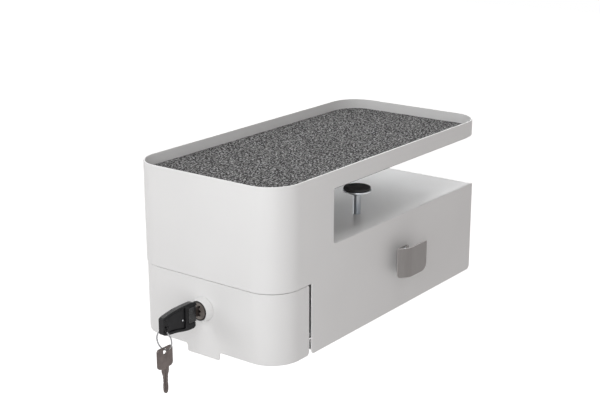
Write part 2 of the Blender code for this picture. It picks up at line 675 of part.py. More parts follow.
def make_cam(body, materials):
    """Flat arm behind the lock, stored pointing to -X, and the screw that holds it."""
    centre = (0, LOCK_Z)
    end = CAM_REACH - CAM_HALF
    outline = arc(centre, CAM_HUB, -80, 80, 8)
    outline += [(-CAM_WAIST, LOCK_Z + CAM_HALF), (-end, LOCK_Z + CAM_HALF)]
    outline += arc((-end, LOCK_Z), CAM_HALF, 90, 270, 8)[1:]
    outline.append((-CAM_WAIST, LOCK_Z - CAM_HALF))
    back = CAM_FRONT + CAM_THICK
    cam = add_piece("lock_cam", prism(outline, "Y", CAM_FRONT, back), body, materials["zinc"])
    cut(cam, rod("Y", centre, CAM_HOLE, CAM_FRONT - PAST, back + PAST, 16))
    under_head = back + GAP
    profile = [(0, CAM_FRONT), (CAM_SCREW_RADIUS, CAM_FRONT), (CAM_SCREW_RADIUS, under_head),
               (CAM_SCREW_HEAD, under_head), (CAM_SCREW_HEAD, back + CAM_SCREW_RISE),
               (0, back + CAM_SCREW_RISE)]
    add_piece("cam_screw", turned(profile, "Y", centre, 16), body, materials["zinc"])


def make_key(body, materials):
    """Flat blade with a pointed tip, moulded into the head that the grip folds on."""
    half = BLADE_HALF
    taper = BLADE_TIP - BLADE_TIP_LENGTH
    outline = [(BLADE_ROOT, -half), (taper, -half), (BLADE_TIP, -half * 0.4)]
    outline += [(y, -z) for y, z in reversed(outline)]
    flat = BLADE_THICK / 2
    blade = prism([(y, LOCK_Z + z) for y, z in outline], "X", -flat, flat)
    add_piece("key_blade", blade, body, materials["key"])
    thick = HEAD_THICK / 2
    head_z = (LOCK_Z - HEAD_HALF, LOCK_Z + HEAD_HALF)
    head = block((-thick, thick), (HEAD_BACK, HEAD_FRONT), head_z)
    head = add_piece("key_head", head, body, materials["black"])
    slot_x = (-flat - GAP, flat + GAP)
    slot_z = (LOCK_Z - half - GAP, LOCK_Z + half + GAP)
    cut(head, block(slot_x, (BLADE_ROOT - GAP, HEAD_FRONT + PAST), slot_z))


def smooth_line(points, steps=3):
    """A smooth curve through points given in mm, as points in metres."""
    line = []
    padded = [points[0], *points, points[-1]]
    for before, start, end, after in zip(padded, padded[1:], padded[2:], padded[3:]):
        for step in range(steps):
            t = step / steps
            line.append(tuple(MM * 0.5 * (2 * b + (c - a) * t + (2 * a - 5 * b + 4 * c - d) * t ** 2
                                          + (3 * b - a - 3 * c + d) * t ** 3)
                              for a, b, c, d in zip(before, start, end, after)))
    line.append((points[-1][0] * MM, points[-1][1] * MM))
    return line


def bow_pocket(upper, lower):
    """Outline of the sunk panel, which leaves a rim at each edge and a boss round the ring's hole."""
    top = [(y, z - POCKET_RIM) for y, z in upper if POCKET_BACK < y < POCKET_FRONT]
    bottom = [(y, z + POCKET_RIM) for y, z in lower if RING_BOSS_FRONT < y < POCKET_FRONT]
    outline = [(POCKET_BACK, top[0][1])] + top + [(POCKET_FRONT, top[-1][1])]
    outline += [(POCKET_FRONT, bottom[0][1])] + bottom
    outline += [(RING_BOSS_FRONT, bottom[-1][1])]
    corner = (RING_BOSS_FRONT - RING_BOSS_CORNER, RING_BOSS_TOP - RING_BOSS_CORNER)
    outline += arc(corner, RING_BOSS_CORNER, 0, 90, 3)
    outline.append((POCKET_BACK, RING_BOSS_TOP))
    return outline


def make_bow(body, materials):
    """The folding grip: a plate with sunk sides, forked around the key's head."""
    half = BOW_THICK / 2
    upper = smooth_line(BOW_UPPER)
    lower = smooth_line(BOW_LOWER)
    outline = upper + [(upper[-1][0], 0), (lower[0][0], 0)] + lower
    grip = prism([(y, LOCK_Z + z) for y, z in outline], "X", -half, half)
    bow = add_piece("key_bow", grip, body, materials["black"])
    fork_z = (LOCK_Z - FORK_HALF, LOCK_Z + FORK_HALF)
    through = (-half - PAST, half + PAST)
    cut(bow, block(through, (FORK_BACK, upper[-1][0] + PAST), fork_z))
    pocket = [(y, LOCK_Z + z) for y, z in bow_pocket(upper, lower)]
    for sign in (-1, 1):
        limits = sorted((sign * (half - POCKET_DEPTH), sign * through[1]))
        cut(bow, prism(pocket, "X", *limits))
    cut(bow, rod("X", (RING_Y, BOW_HOLE_Z), BOW_HOLE, *through, 16))
    reach = PIN_TOP + GAP
    cut(bow, rod("Z", (0, FOLD_Y), PIN_RADIUS + GAP, LOCK_Z - reach, LOCK_Z + reach, 12))


def make_fold_pins(body, materials):
    """Two pins in the fork's arms, which the key's head turns on."""
    for side, sign in (("top", 1), ("bottom", -1)):
        limits = sorted((LOCK_Z + sign * FORK_HALF, LOCK_Z + sign * PIN_TOP))
        pin = rod("Z", (0, FOLD_Y), PIN_RADIUS, *limits, 12)
        add_piece("fold_pin_%s" % side, pin, body, materials["zinc"])


def make_key_ring(body, materials):
    wire = circle((RING_RADIUS, RING_Y), RING_WIRE, 8)
    centre = (0, RING_TOP_Z - RING_RADIUS)
    add_piece("key_ring", turned(wire, "Y", centre, 32), body, materials["zinc"], 80)


def make_spare_key(body, materials):
    """Flat key that hangs from the ring, its blade down."""
    corner = SPARE_TOP_CORNER
    right = arc((SPARE_HALF - corner, SPARE_TOP - corner), corner, 90, 0, 4)
    corner = SPARE_BOTTOM_CORNER
    right += arc((SPARE_HALF - corner, SPARE_BOTTOM + corner), corner, 0, -90, 4)
    right += [(y * MM, z * MM) for y, z in SPARE_BLADE]
    outline = right + [(-y, z) for y, z in reversed(right)]
    flat = BLADE_THICK / 2
    key = prism([(RING_Y + y, z) for y, z in outline], "X", -flat, flat)
    key = add_piece("spare_key", key, body, materials["key"])
    cut(key, rod("X", (RING_Y, SPARE_HOLE_Z), SPARE_HOLE, -flat - PAST, flat + PAST, 20))


def knob_outline(centre):
    """Fluted outline: each flute takes two points out and two points in."""
    points = []
    for i in range(KNOB_FLUTES * 4):
        radius = KNOB_RADIUS if i % 4 < 2 else KNOB_RADIUS - KNOB_FLUTE_DEPTH
        angle = math.tau * i / (KNOB_FLUTES * 4)
        points.append((centre[0] + radius * math.cos(angle), centre[1] + radius * math.sin(angle)))
    return points


def make_clamp(side, sign, bodies, materials):
    zinc = materials["zinc"]
    centre = (sign * CLAMP_X, CLAMP_Y)
    housing = bodies["housing"]
    nut_top = TOP_PLATE_BOTTOM - GAP
    nut = prism(circle(centre, CLAMP_NUT_RADIUS, 6), "Z", nut_top - CLAMP_NUT, nut_top)
    nut = add_piece("clamp_nut_%s" % side, nut, housing, zinc)
    cut(nut, rod("Z", centre, SPINDLE_HOLE, nut_top - CLAMP_NUT - PAST, nut_top + PAST))

    pad = bodies["clamp_pad_%s" % side]
    rubber_bottom = -DESK_THICKNESS - CLAMP_RUBBER
    rubber = rod("Z", centre, CLAMP_RUBBER_RADIUS, rubber_bottom, -DESK_THICKNESS)
    add_piece("clamp_rubber_%s" % side, rubber, pad, materials["rubber"])
    cup_top = rubber_bottom - GAP
    cup_bottom = cup_top - CLAMP_CUP
    socket_top = cup_bottom + CLAMP_SOCKET
    profile = [(0, cup_top), (CLAMP_CUP_RADIUS, cup_top),
               (CLAMP_CUP_RADIUS, cup_top - CLAMP_CUP_RIM), (CLAMP_CUP_FOOT, cup_bottom),
               (SPINDLE_HOLE, cup_bottom), (SPINDLE_HOLE, socket_top), (0, socket_top)]
    add_piece("clamp_cup_%s" % side, turned(profile, "Z", centre), pad, zinc)

    screw = bodies["clamp_screw_%s" % side]
    spindle = rod("Z", centre, SPINDLE_RADIUS, KNOB_BOTTOM - GAP, socket_top - GAP, 20)
    add_piece("clamp_spindle_%s" % side, spindle, screw, zinc)
    knob = prism(knob_outline(centre), "Z", KNOB_BOTTOM, KNOB_TOP)
    knob = add_piece("clamp_knob_%s" % side, knob, screw, materials["black"])
    cut(knob, rod("Z", centre, SPINDLE_HOLE, KNOB_BOTTOM - PAST, KNOB_TOP + PAST, 20))


def make_bodies():
    """One empty for each group of pieces that moves as one, on its joint's axis."""
    bodies = {"housing": make_body("housing_body", (0, 0, 0))}
    housing = bodies["housing"]
    bodies["slides"] = make_body("slides_body", (0, SLIDE_FRONT, SLIDE_Z), housing)
    bodies["drawer"] = make_body("drawer_body", (0, FRONT, LOCK_Z), housing)
    bodies["lock"] = make_body("lock_body", (0, COLLAR_FACE, LOCK_Z), bodies["drawer"])
    bodies["key"] = make_body("key_body", (0, HEAD_FRONT, LOCK_Z), bodies["lock"])
    bodies["bow"] = make_body("bow_body", (0, FOLD_Y, LOCK_Z), bodies["key"])
    bodies["ring"] = make_body("ring_body", (0, RING_Y, RING_TOP_Z), bodies["bow"])
    bodies["spare"] = make_body("spare_body", (0, RING_Y, RING_BOTTOM_Z), bodies["ring"])
    for side, sign in (("left", -1), ("right", 1)):
        place = (sign * CLAMP_X, CLAMP_Y, -DESK_THICKNESS)
        pad = make_body("clamp_pad_%s_body" % side, place, housing)
        bodies["clamp_pad_%s" % side] = pad
        bodies["clamp_screw_%s" % side] = make_body("clamp_screw_%s_body" % side, place, pad)
    return bodies


def main():
    clear_scene()
    materials = make_materials()
    bodies = make_bodies()
    housing = bodies["housing"]
    drawer = bodies["drawer"]
    make_shell(housing, materials)
    make_tray(housing, materials)
    make_fixed_plates(housing, materials)
    make_slides(bodies, materials)
    make_bumpers(housing, materials)
    make_hook(housing, materials)
    make_drawer_front(drawer, materials)
    make_drawer_box(drawer, materials)
    make_lock(bodies, materials)
    make_key(bodies["key"], materials)
    make_bow(bodies["bow"], materials)
    make_fold_pins(bodies["bow"], materials)
    make_key_ring(bodies["ring"], materials)
    make_spare_key(bodies["spare"], materials)
    for side, sign in (("left", -1), ("right", 1)):
        make_clamp(side, sign, bodies, materials)


main()
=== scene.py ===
"""Finished desk drawer: surfaces, fine shapes and studio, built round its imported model.

Metres, +Z up. The origin is half way across the unit on the desk's top front edge, +Y runs in
over the desk, and the drawer opens along -Y.
"""

import math

import bmesh
import bpy
from bpy.props import FloatProperty, FloatVectorProperty, IntProperty, PointerProperty
from mathutils import Matrix, Vector, noise


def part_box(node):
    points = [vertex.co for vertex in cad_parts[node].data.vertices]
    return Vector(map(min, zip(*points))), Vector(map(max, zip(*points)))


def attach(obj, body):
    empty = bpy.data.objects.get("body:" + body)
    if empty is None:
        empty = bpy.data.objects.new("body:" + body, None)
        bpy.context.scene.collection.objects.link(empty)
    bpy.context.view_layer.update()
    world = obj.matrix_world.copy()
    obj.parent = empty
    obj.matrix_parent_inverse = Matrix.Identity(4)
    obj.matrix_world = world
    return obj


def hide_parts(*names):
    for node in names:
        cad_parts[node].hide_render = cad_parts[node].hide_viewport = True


bl_info = {
    "name": "Clamp-on desk drawer",
    "version": (1, 0, 0),
    "blender": (4, 5, 0),
    "location": "3D View > Sidebar > Desk drawer",
    "description": "Finishes a desk drawer with its tray, lock, keys, hook and clamps",
    "category": "Object",
}

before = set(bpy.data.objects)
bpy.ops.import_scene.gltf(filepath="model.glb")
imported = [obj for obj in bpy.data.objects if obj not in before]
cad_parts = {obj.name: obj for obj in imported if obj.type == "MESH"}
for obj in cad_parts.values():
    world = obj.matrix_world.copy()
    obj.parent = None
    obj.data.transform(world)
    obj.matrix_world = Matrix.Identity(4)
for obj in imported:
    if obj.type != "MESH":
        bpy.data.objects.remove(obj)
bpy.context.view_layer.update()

MM = 0.001
HALF_TURN = math.pi

# The camera that took the photograph, found from the unit's straight edges
CAMERA_PLACE = (0.73124, -0.89919, 0.32227)
CAMERA_YAW = math.radians(37.12829)
CAMERA_PITCH = math.radians(16.73321)
CAMERA_ROLL = math.radians(-0.09091)
CAMERA_LENS = 73.328
CAMERA_SENSOR = 36.0

# Places on the unit that new pieces share with the model
LOCK_Z = -113.6 * MM
RING_Y = -141.8 * MM
RING_CENTRE_Z = -127.4 * MM
RING_RADIUS = 9.2 * MM
CLAMP_X = 52 * MM
CLAMP_Y = 95 * MM

# Points nearer than WELD are one point; a corner is found within SAME_SPOT of its place
WELD = 1e-6
SAME_SPOT = 5e-5

# Rounded edges that several pieces share
PLATE_EDGE = 0.3 * MM
TURNED_EDGE = 0.15 * MM
FINE_EDGE = 0.12 * MM

# The spot that all lamps face, and each lamp's place and width
LAMP_TARGET = (0.0, 0.05, -0.07)
LAMPS = {"left": ((-0.6, -0.6, 0.3), 0.6), "right": ((0.35, -0.6, 0.1), 0.6),
         "top": ((0.0, 0.15, 0.9), 0.8), "back": ((-0.6, 0.95, 0.3), 0.6)}
FLOOR_REACH = 6.0


def colour_property(name, description, default):
    return FloatVectorProperty(name=name, description=description, default=default,
                               subtype="COLOR", size=3, min=0.0, max=1.0)


def length_property(name, description, default):
    return FloatProperty(name=name, description=description, default=default, min=0.0,
                         unit="LENGTH", precision=5)


def power_property(name, description, default):
    return FloatProperty(name=name, description=description, default=default, min=0.0,
                         unit="POWER")


class DrawerColours(bpy.types.PropertyGroup):
    """Colours of the unit's finishes."""

    white: colour_property("White", "Powder coat on the sheet metal", (0.80, 0.80, 0.795))
    felt_dark: colour_property("Felt, dark", "Darker fibres of the felt", (0.008, 0.008, 0.008))
    felt_light: colour_property("Felt, light", "Lighter fibres of the felt", (0.47, 0.47, 0.47))
    rubber: colour_property("Rubber", "Desk pad, bumpers and clamp discs", (0.022, 0.022, 0.022))
    zinc: colour_property("Zinc", "Plated steel parts", (0.62, 0.63, 0.64))
    hook: colour_property("Hook", "Satin metal of the bag hook", (0.2, 0.19, 0.185))
    # The hook's edge colour is a painted highlight: brighter metal along its edges, top and nose
    # end.
    hook_edge: colour_property("Hook edge", "Painted highlight along the hook's edges", (0.62, 0.6, 0.59))
    bronze: colour_property("Bronze", "Face of the lock's plug", (0.15, 0.132, 0.12))
    plastic: colour_property("Plastic", "Key grip and clamp knobs", (0.009, 0.009, 0.01))
    key: colour_property("Key", "Plate on the keys", (0.125, 0.106, 0.1))
    ring: colour_property("Ring", "Spring steel of the key ring", (0.33, 0.325, 0.32))


class DrawerSizes(bpy.types.PropertyGroup):
    """Small sizes of the fine shapes."""

    sheet_edge: length_property("Sheet edge", "Rounding of cut sheet edges", 0.45 * MM)
    felt_edge: length_property("Felt edge", "Rounding along the felt's edge", 0.9 * MM)
    felt_wave: length_property("Felt wave", "Unevenness of the felt's face", 0.14 * MM)
    corner_steps: IntProperty(name="Corner steps", default=18, min=4, max=48,
                              description="Faces round each large corner")


class DrawerStudio(bpy.types.PropertyGroup):
    """Light and floor of the studio."""

    left_power: power_property("Left light", "Power of the front left light", 2.3)
    right_power: power_property("Right light", "Power of the front right light", 2.6)
    top_power: power_property("Top light", "Power of the soft light above", 4.8)
    back_power: power_property("Back light", "Power of the light behind", 3.0)
    sky_colour: colour_property("Sky colour", "Warm fill from all round", (1.0, 0.94, 0.925))
    lamp_colour: colour_property("Lamp colour", "Colour of the four lamps", (0.975, 0.99, 1.0))
    sky: FloatProperty(name="Sky", description="Level of the light from all round",
                       default=0.32, min=0.0, max=2.0)
    floor_drop: length_property("Floor", "How far the floor lies below the desk top", 0.72)
    floor: colour_property("Floor colour", "Plain pale floor", (0.9, 0.9, 0.9))
    floor_lift: FloatProperty(name="Floor lift", default=0.78, min=0.0, max=1.0,
                              description="Brings the seen floor up to the backdrop's white")


def colours():
    return bpy.context.scene.drawer_colours


def sizes():
    return bpy.context.scene.drawer_sizes


class Value:
    """A node's output whose arithmetic adds Math nodes to its material."""

    def __init__(self, finish, socket):
        self.finish = finish
        self.socket = socket

    def maths(self, operation, first, second):
        return self.finish.node("ShaderNodeMath", {"operation": operation}, {0: first, 1: second})

    def __add__(self, other):
        return self.maths("ADD", self, other)

    def __radd__(self, other):
        return self.maths("ADD", other, self)

    def __rsub__(self, other):
        return self.maths("SUBTRACT", other, self)

    def __mul__(self, other):
        return self.maths("MULTIPLY", self, other)

    def __rmul__(self, other):
        return self.maths("MULTIPLY", other, self)


class Finish:
    """One material and the nodes that give it its detail."""

    def __init__(self, name, roughness, metallic=0.0, specular=0.5):
        self.material = bpy.data.materials.new(name)
        self.material.use_nodes = True
        self.tree = self.material.node_tree
        self.shader = self.tree.nodes["Principled BSDF"]
        self.shader.inputs["Roughness"].default_value = roughness
        self.shader.inputs["Metallic"].default_value = metallic
        self.shader.inputs["Specular IOR Level"].default_value = specular

    def node(self, kind, settings=None, inputs=None, output=0):
        """Add any node: its settings first, then the values or links of its sockets."""
        node = self.tree.nodes.new(kind)
        for name, value in (settings or {}).items():
            setattr(node, name, value)
        for name, value in (inputs or {}).items():
            self.feed(node.inputs[name], value)
        return Value(self, node.outputs[output])

    def feed(self, socket, value):
        if isinstance(value, Value):
            self.tree.links.new(value.socket, socket)
        else:
            socket.default_value = value

    def place(self, scale=(1, 1, 1), turn=(0, 0, 0)):
        """Object coordinates, turned and stretched."""
        spot = self.node("ShaderNodeTexCoord", output="Object")
        return self.node("ShaderNodeMapping", {}, {"Vector": spot, "Rotation": turn,
                                                   "Scale": scale})

    def noise(self, size, detail=3.0, scale=(1, 1, 1), turn=(0, 0, 0), roughness=0.5):
        """Soft noise whose features are about size metres across."""
        return self.node("ShaderNodeTexNoise", {}, {
            "Vector": self.place(scale, turn), "Scale": 1.0 / size, "Detail": detail,
            "Roughness": roughness})

    def spread(self, value, low, high):
        """Stretch the values between low and high to 0 to 1, with both ends held."""
        return self.node("ShaderNodeMapRange", {"clamp": True}, {
            "Value": value, "From Min": low, "From Max": high})

    def mix(self, share, first, second):
        """Mix two colours."""
        node = self.tree.nodes.new("ShaderNodeMix")
        node.data_type = "RGBA"
        self.feed(node.inputs["Factor"], share)
        for socket, value in ((node.inputs[6], first), (node.inputs[7], second)):
            self.feed(socket, value if isinstance(value, Value) else (*value, 1.0))
        return Value(self, node.outputs[2])

    def colour(self, value):
        self.feed(self.shader.inputs["Base Color"], value)

    def rough(self, value):
        self.feed(self.shader.inputs["Roughness"], value)

    def bump(self, height, distance, strength):
        bump = self.node("ShaderNodeBump", {}, {"Height": height, "Distance": distance,
                                                "Strength": strength})
        self.feed(self.shader.inputs["Normal"], bump)


def tint(colour, share):
    """A colour made darker or lighter, up to full white."""
    return tuple(min(1.0, part * share) for part in colour)


def powder_coat(name, colour):
    """Satin powder coat: a fine peel, faint clouding and dull specks."""
    finish = Finish(name, 0.42)
    cloud = finish.spread(finish.noise(0.09, 2.0), 0.3, 0.7)
    speck = finish.spread(finish.noise(0.0014, 1.0), 0.62, 0.74)
    tone = finish.mix(cloud, tint(colour, 0.985), tint(colour, 1.01))
    finish.colour(finish.mix(speck * 0.25, tone, tint(colour, 0.95)))
    finish.rough(0.36 + 0.1 * finish.noise(0.02) + 0.05 * speck)
    peel = finish.noise(0.0011, 2.0) + 0.6 * finish.noise(0.003, 1.0)
    finish.bump(peel, 0.00003, 0.5)
    return finish.material


def pressed_felt(name, dark, light):
    """Marled pressed felt: short fibres that lie in every direction."""
    finish = Finish(name, 0.95, specular=0.1)
    fibres = None
    for degrees in (8, 67, 121):
        turn = (0, 0, math.radians(degrees))
        layer = finish.noise(0.0007, 3.0, (1.0, 0.3, 1.0), turn, 0.62)
        fibres = layer if fibres is None else fibres + layer
    fibres = finish.spread(fibres, 1.3, 1.7)
    tuft = finish.spread(finish.noise(0.0019, 1.0) * 0.88 + fibres * 0.12, 0.54, 0.6)
    body = finish.mix(tuft * 0.8 + fibres * 0.2, dark, light)
    stray = finish.spread(finish.noise(0.0021, 1.0, (1.0, 0.5, 1.0), (0, 0, 0.6)), 0.64, 0.7)
    finish.colour(finish.mix(stray * 0.5, body, tint(light, 1.5)))
    finish.bump(fibres * 0.7 + tuft * 0.5 + stray * 0.3, 0.0004, 0.8)
    return finish.material


def moulded_rubber(name, colour):
    """Dull black rubber with a little pale dust."""
    finish = Finish(name, 0.75)
    dust = finish.spread(finish.noise(0.008), 0.45, 0.75)
    finish.colour(finish.mix(dust * 0.3, colour, tint(colour, 2.2)))
    finish.rough(0.68 + 0.2 * dust)
    finish.bump(finish.noise(0.0008, 2.0), 0.00006, 0.6)
    return finish.material


def zinc_plate(name, colour):
    """Bright plated steel: faint rolling lines, blue clouding and small rubbed marks."""
    finish = Finish(name, 0.3, 1.0)
    lines = finish.noise(0.004, 3.0, (12.0, 0.4, 12.0))
    cloud = finish.spread(finish.noise(0.025, 3.0), 0.3, 0.7)
    blue = (colour[0] * 0.93, colour[1] * 0.97, min(1.0, colour[2] * 1.03))
    tone = finish.mix(cloud, colour, blue)
    mark = finish.spread(finish.noise(0.006, 4.0, roughness=0.7), 0.6, 0.72)
    finish.colour(finish.mix(mark * 0.35, tone, tint(colour, 0.7)))
    finish.rough(0.24 + 0.16 * lines + 0.16 * mark)
    finish.bump(lines, 0.00002, 0.5)
    return finish.material


def satin_steel(name, colour):
    """Brushed satin metal with faint lines along Z, as on the bag hook."""
    finish = Finish(name, 0.42, 1.0)
    brushed = finish.noise(0.001, 4.0, (1.0, 1.0, 0.05), roughness=0.7)
    cloud = finish.spread(finish.noise(0.014, 2.0), 0.3, 0.7)
    tone = finish.mix(finish.spread(brushed, 0.35, 0.65), tint(colour, 0.94), tint(colour, 1.05))
    finish.colour(finish.mix(cloud * 0.4, tone, tint(colour, 1.08)))
    finish.rough(0.4 + 0.1 * brushed + 0.05 * cloud)
    finish.bump(brushed, 0.00001, 0.4)
    return finish.material


def dark_bronze(name, colour):
    """Turned dark metal with painted shade round its rim and side, rubbed brownish grey on its
    face.
    """
    finish = Finish(name, 0.45, 0.35)
    spot = finish.node("ShaderNodeMapping", {}, {
        "Vector": finish.node("ShaderNodeTexCoord", output="Object"),
        "Location": (0.0, 0.0, -LOCK_Z), "Scale": (1.0, 0.0, 1.0)})
    rings = finish.node("ShaderNodeTexWave", {
        "wave_type": "RINGS", "rings_direction": "Y", "wave_profile": "SIN"}, {
        "Vector": spot, "Scale": 420.0, "Distortion": 0.6, "Detail": 2.0}, "Fac")
    out = finish.node("ShaderNodeVectorMath", {"operation": "LENGTH"}, {0: spot}, "Value")
    # Painted shade: past the sunk face, the raised rim and the plug's side are darkened to near
    # black.
    rim = finish.spread(out, 8.1 * MM, 8.5 * MM)
    blotches = finish.spread(finish.noise(0.003, 3.0), 0.4, 0.68)
    tone = finish.mix(blotches, colour, tint(colour, 1.45))
    face = finish.mix(rings * 0.2, tone, tint(colour, 0.7))
    finish.colour(finish.mix(rim, face, tint(colour, 0.16)))
    finish.rough(0.42 + 0.12 * blotches + 0.06 * rings)
    finish.bump(rings + blotches * 0.5, 0.00002, 0.5)
    return finish.material


def grained_plastic(name, colour):
    """Moulded black plastic with a spark-eroded grain and faint shiny handling marks."""
    finish = Finish(name, 0.36, specular=0.2)
    grain = finish.noise(0.0006, 2.0, roughness=0.6)
    handled = finish.spread(finish.noise(0.012, 3.0), 0.4, 0.7)
    finish.colour(finish.mix(handled, colour, tint(colour, 1.7)))
    finish.rough(0.38 - 0.1 * handled + 0.08 * grain)
    finish.bump(grain, 0.00002, 0.6)
    return finish.material


def plastic_painted_highlight(name, colour):
    """The same plastic, lighter and glossier: a painted highlight for the grip's top faces and
    edges, and for the head.
    """
    finish = Finish(name, 0.25, specular=0.6)
    blotches = finish.spread(finish.noise(0.004, 3.0), 0.35, 0.7)
    finish.colour(finish.mix(blotches, tint(colour, 1.2), tint(colour, 2.0)))
    finish.rough(0.3 - 0.1 * blotches)
    finish.bump(finish.noise(0.0008, 2.0), 0.00001, 0.4)
    return finish.material


def worn_nickel(name, colour):
    """Plate on the keys: warm grey, with fine scratches and darker handled patches."""
    finish = Finish(name, 0.34, 1.0)
    fine = finish.noise(0.002, 4.0, (1.0, 9.0, 0.5), (0.5, 0, 0), 0.7)
    cross = finish.noise(0.003, 3.0, (1.0, 0.5, 8.0), (-0.4, 0, 0), 0.7)
    scratch = finish.spread(fine, 0.6, 0.66) + finish.spread(cross, 0.62, 0.68)
    patch = finish.spread(finish.noise(0.007, 3.0), 0.35, 0.65)
    tone = finish.mix(patch, tint(colour, 0.82), tint(colour, 1.16))
    finish.colour(finish.mix(scratch * 0.3, tone, tint(colour, 1.8)))
    finish.rough(0.3 + 0.14 * patch + 0.08 * scratch)
    finish.bump(fine + cross, 0.00002, 0.5)
    return finish.material


# What makes each finish, and which of the unit's colours it takes
FINISH_MAKERS = {
    "grey_felt": (pressed_felt, "felt_dark", "felt_light"),
    "ring_steel": (zinc_plate, "ring"),
    # The hook's edge finish is a painted highlight in brighter metal.
    "hook_edge": (satin_steel, "hook_edge"),
    # The grip's lighter, glossier plastic is a painted highlight.
    "grip_edge": (plastic_painted_highlight, "plastic"),
    "white_powder_coat": (powder_coat, "white"),
    "black_rubber": (moulded_rubber, "rubber"),
    "zinc_plate": (zinc_plate, "zinc"),
    "satin_metal": (satin_steel, "hook"),
    "dark_bronze": (dark_bronze, "bronze"),
    "black_plastic": (grained_plastic, "plastic"),
    "nickel_key": (worn_nickel, "key"),
}


def finish_of(slot):
    """The material of one of the record's slots, made when it is first asked for."""
    name = "finish_" + slot
    if name not in bpy.data.materials:
        maker, *names = FINISH_MAKERS[slot]
        return maker(name, *(tuple(getattr(colours(), colour)) for colour in names))
    return bpy.data.materials[name]


def round_edges(piece, width, segments=3, angle=32):
    """Rounded edges whose shading runs smoothly into flat faces."""
    bevel = piece.modifiers.new("rounded_edges", "BEVEL")
    bevel.width = width
    bevel.segments = segments
    bevel.limit_method = "ANGLE"
    bevel.angle_limit = math.radians(angle)
    bevel.miter_outer = "MITER_ARC"
    bevel.harden_normals = True
    normals = piece.modifiers.new("flat_faces_flat", "WEIGHTED_NORMAL")
    normals.keep_sharp = False


def finish_edges(piece, finish):
    """Give the rounded edges, and the faces already marked for it, a finish of their own."""
    piece.data.materials.append(finish_of(finish))
    piece.modifiers["rounded_edges"].material = 1


def dress(node, slot, width, segments=2):
    """Give a node that stays its finish, whole flat faces and rounded edges."""
    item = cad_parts[node]
    item.data.materials.clear()
    item.data.materials.append(finish_of(slot))
    weld = item.modifiers.new("joined", "WELD")
    weld.merge_threshold = WELD
    flat = item.modifiers.new("whole_faces", "DECIMATE")
    flat.decimate_type = "DISSOLVE"
    flat.angle_limit = math.radians(1)
    round_edges(item, width, segments)


def mesh_of(bm, name):
    """Turn a finished bmesh into a mesh."""
    mesh = bpy.data.meshes.new(name)
    bm.to_mesh(mesh)
    bm.free()
    return mesh


def add_object(name, data):
    """Put a new object in the scene."""
    item = bpy.data.objects.new(name, data)
    bpy.context.scene.collection.objects.link(item)
    return item


def add_piece(name, bm, body, slot, stands_for=(), finish=None):
    """Turn a finished bmesh into a piece that rides on its body, in its slot's finish."""
    mesh = mesh_of(bm, name)
    mesh.materials.append(finish_of(finish or slot))
    mesh.shade_smooth()
    piece = add_object(name, mesh)
    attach(piece, body)
    if stands_for:
        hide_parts(*stands_for)
    return piece


def carve(piece, *cutters):
    """Take closed bmeshes out of the piece, and make its modifiers part of its mesh."""
    for bm in cutters:
        mesh = mesh_of(bm, "cutter")
        cutter = add_object("cutter", mesh)
        modifier = piece.modifiers.new("cut", "BOOLEAN")
        modifier.operation = "DIFFERENCE"
        modifier.solver = "EXACT"
        modifier.object = cutter
        depsgraph = bpy.context.evaluated_depsgraph_get()
        carved = bpy.data.meshes.new_from_object(piece.evaluated_get(depsgraph))
        piece.modifiers.clear()
        bpy.data.objects.remove(cutter, do_unlink=True)
        old, piece.data = piece.data, carved
        bpy.data.meshes.remove(old)
        bpy.data.meshes.remove(mesh)
        carved.name = piece.name
        carved.shade_smooth()


def join(bm, other):
    """Put another bmesh into this one."""
    mesh = mesh_of(other, "part")
    bm.from_mesh(mesh)
    bpy.data.meshes.remove(mesh)
    return bm


def node_copy(node):
    """A node's own surface as one joined mesh with whole flat faces."""
    bm = bmesh.new()
    bm.from_mesh(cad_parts[node].data)
    bmesh.ops.remove_doubles(bm, verts=bm.verts, dist=WELD)
    bmesh.ops.dissolve_limit(bm, angle_limit=math.radians(1), verts=bm.verts, edges=bm.edges)
    return bm


def block(low, high):
    """A closed box between two corners."""
    bm = bmesh.new()
    bmesh.ops.create_cube(bm, size=1)
    size = Vector(high) - Vector(low)
    bmesh.ops.scale(bm, vec=size, verts=bm.verts)
    bmesh.ops.translate(bm, vec=(Vector(high) + Vector(low)) / 2, verts=bm.verts)
    return bm


def turned(profile, axis, centre, steps=64):
    """A closed body of revolution from a loop of (radius, place along the axis)."""
    along = Vector((axis == "X", axis == "Y", axis == "Z"))
    out = Vector((0, 0, 1)) if axis != "Z" else Vector((1, 0, 0))
    bm = bmesh.new()
    points = [bm.verts.new(Vector(centre) + out * radius + along * place)
              for radius, place in profile]
    for start, end in zip(points, points[1:] + points[:1]):
        bm.edges.new((start, end))
    bmesh.ops.spin(bm, geom=bm.verts[:] + bm.edges[:], cent=centre, axis=along,
                   angle=2 * HALF_TURN, steps=steps, use_merge=True)
    bmesh.ops.remove_doubles(bm, verts=bm.verts, dist=WELD)
    bmesh.ops.dissolve_degenerate(bm, edges=bm.edges, dist=WELD)
    bmesh.ops.recalc_face_normals(bm, faces=bm.faces)
    return bm


def drill(centre, radius, depth, steps=48):
    """Cutter for a round hole along Y."""
    bm = bmesh.new()
    turn = Matrix.Rotation(HALF_TURN / 2, 4, "X")
    bmesh.ops.create_cone(bm, cap_ends=True, segments=steps, radius1=radius, radius2=radius,
                          depth=depth, matrix=Matrix.Translation(centre) @ turn)
    return bm


def bevel(bm, geometry, radius, steps, kind):
    """Round edges or corners of a bmesh."""
    bmesh.ops.bevel(bm, geom=geometry, offset=radius, offset_type="OFFSET", segments=steps,
                    profile=0.5, affect=kind, material=-1)


def slice_at(bm, place, across):
    """Cut new edges along a plane through a place."""
    bmesh.ops.bisect_plane(bm, geom=bm.verts[:] + bm.edges[:] + bm.faces[:], dist=WELD / 10,
                           plane_co=place, plane_no=across)


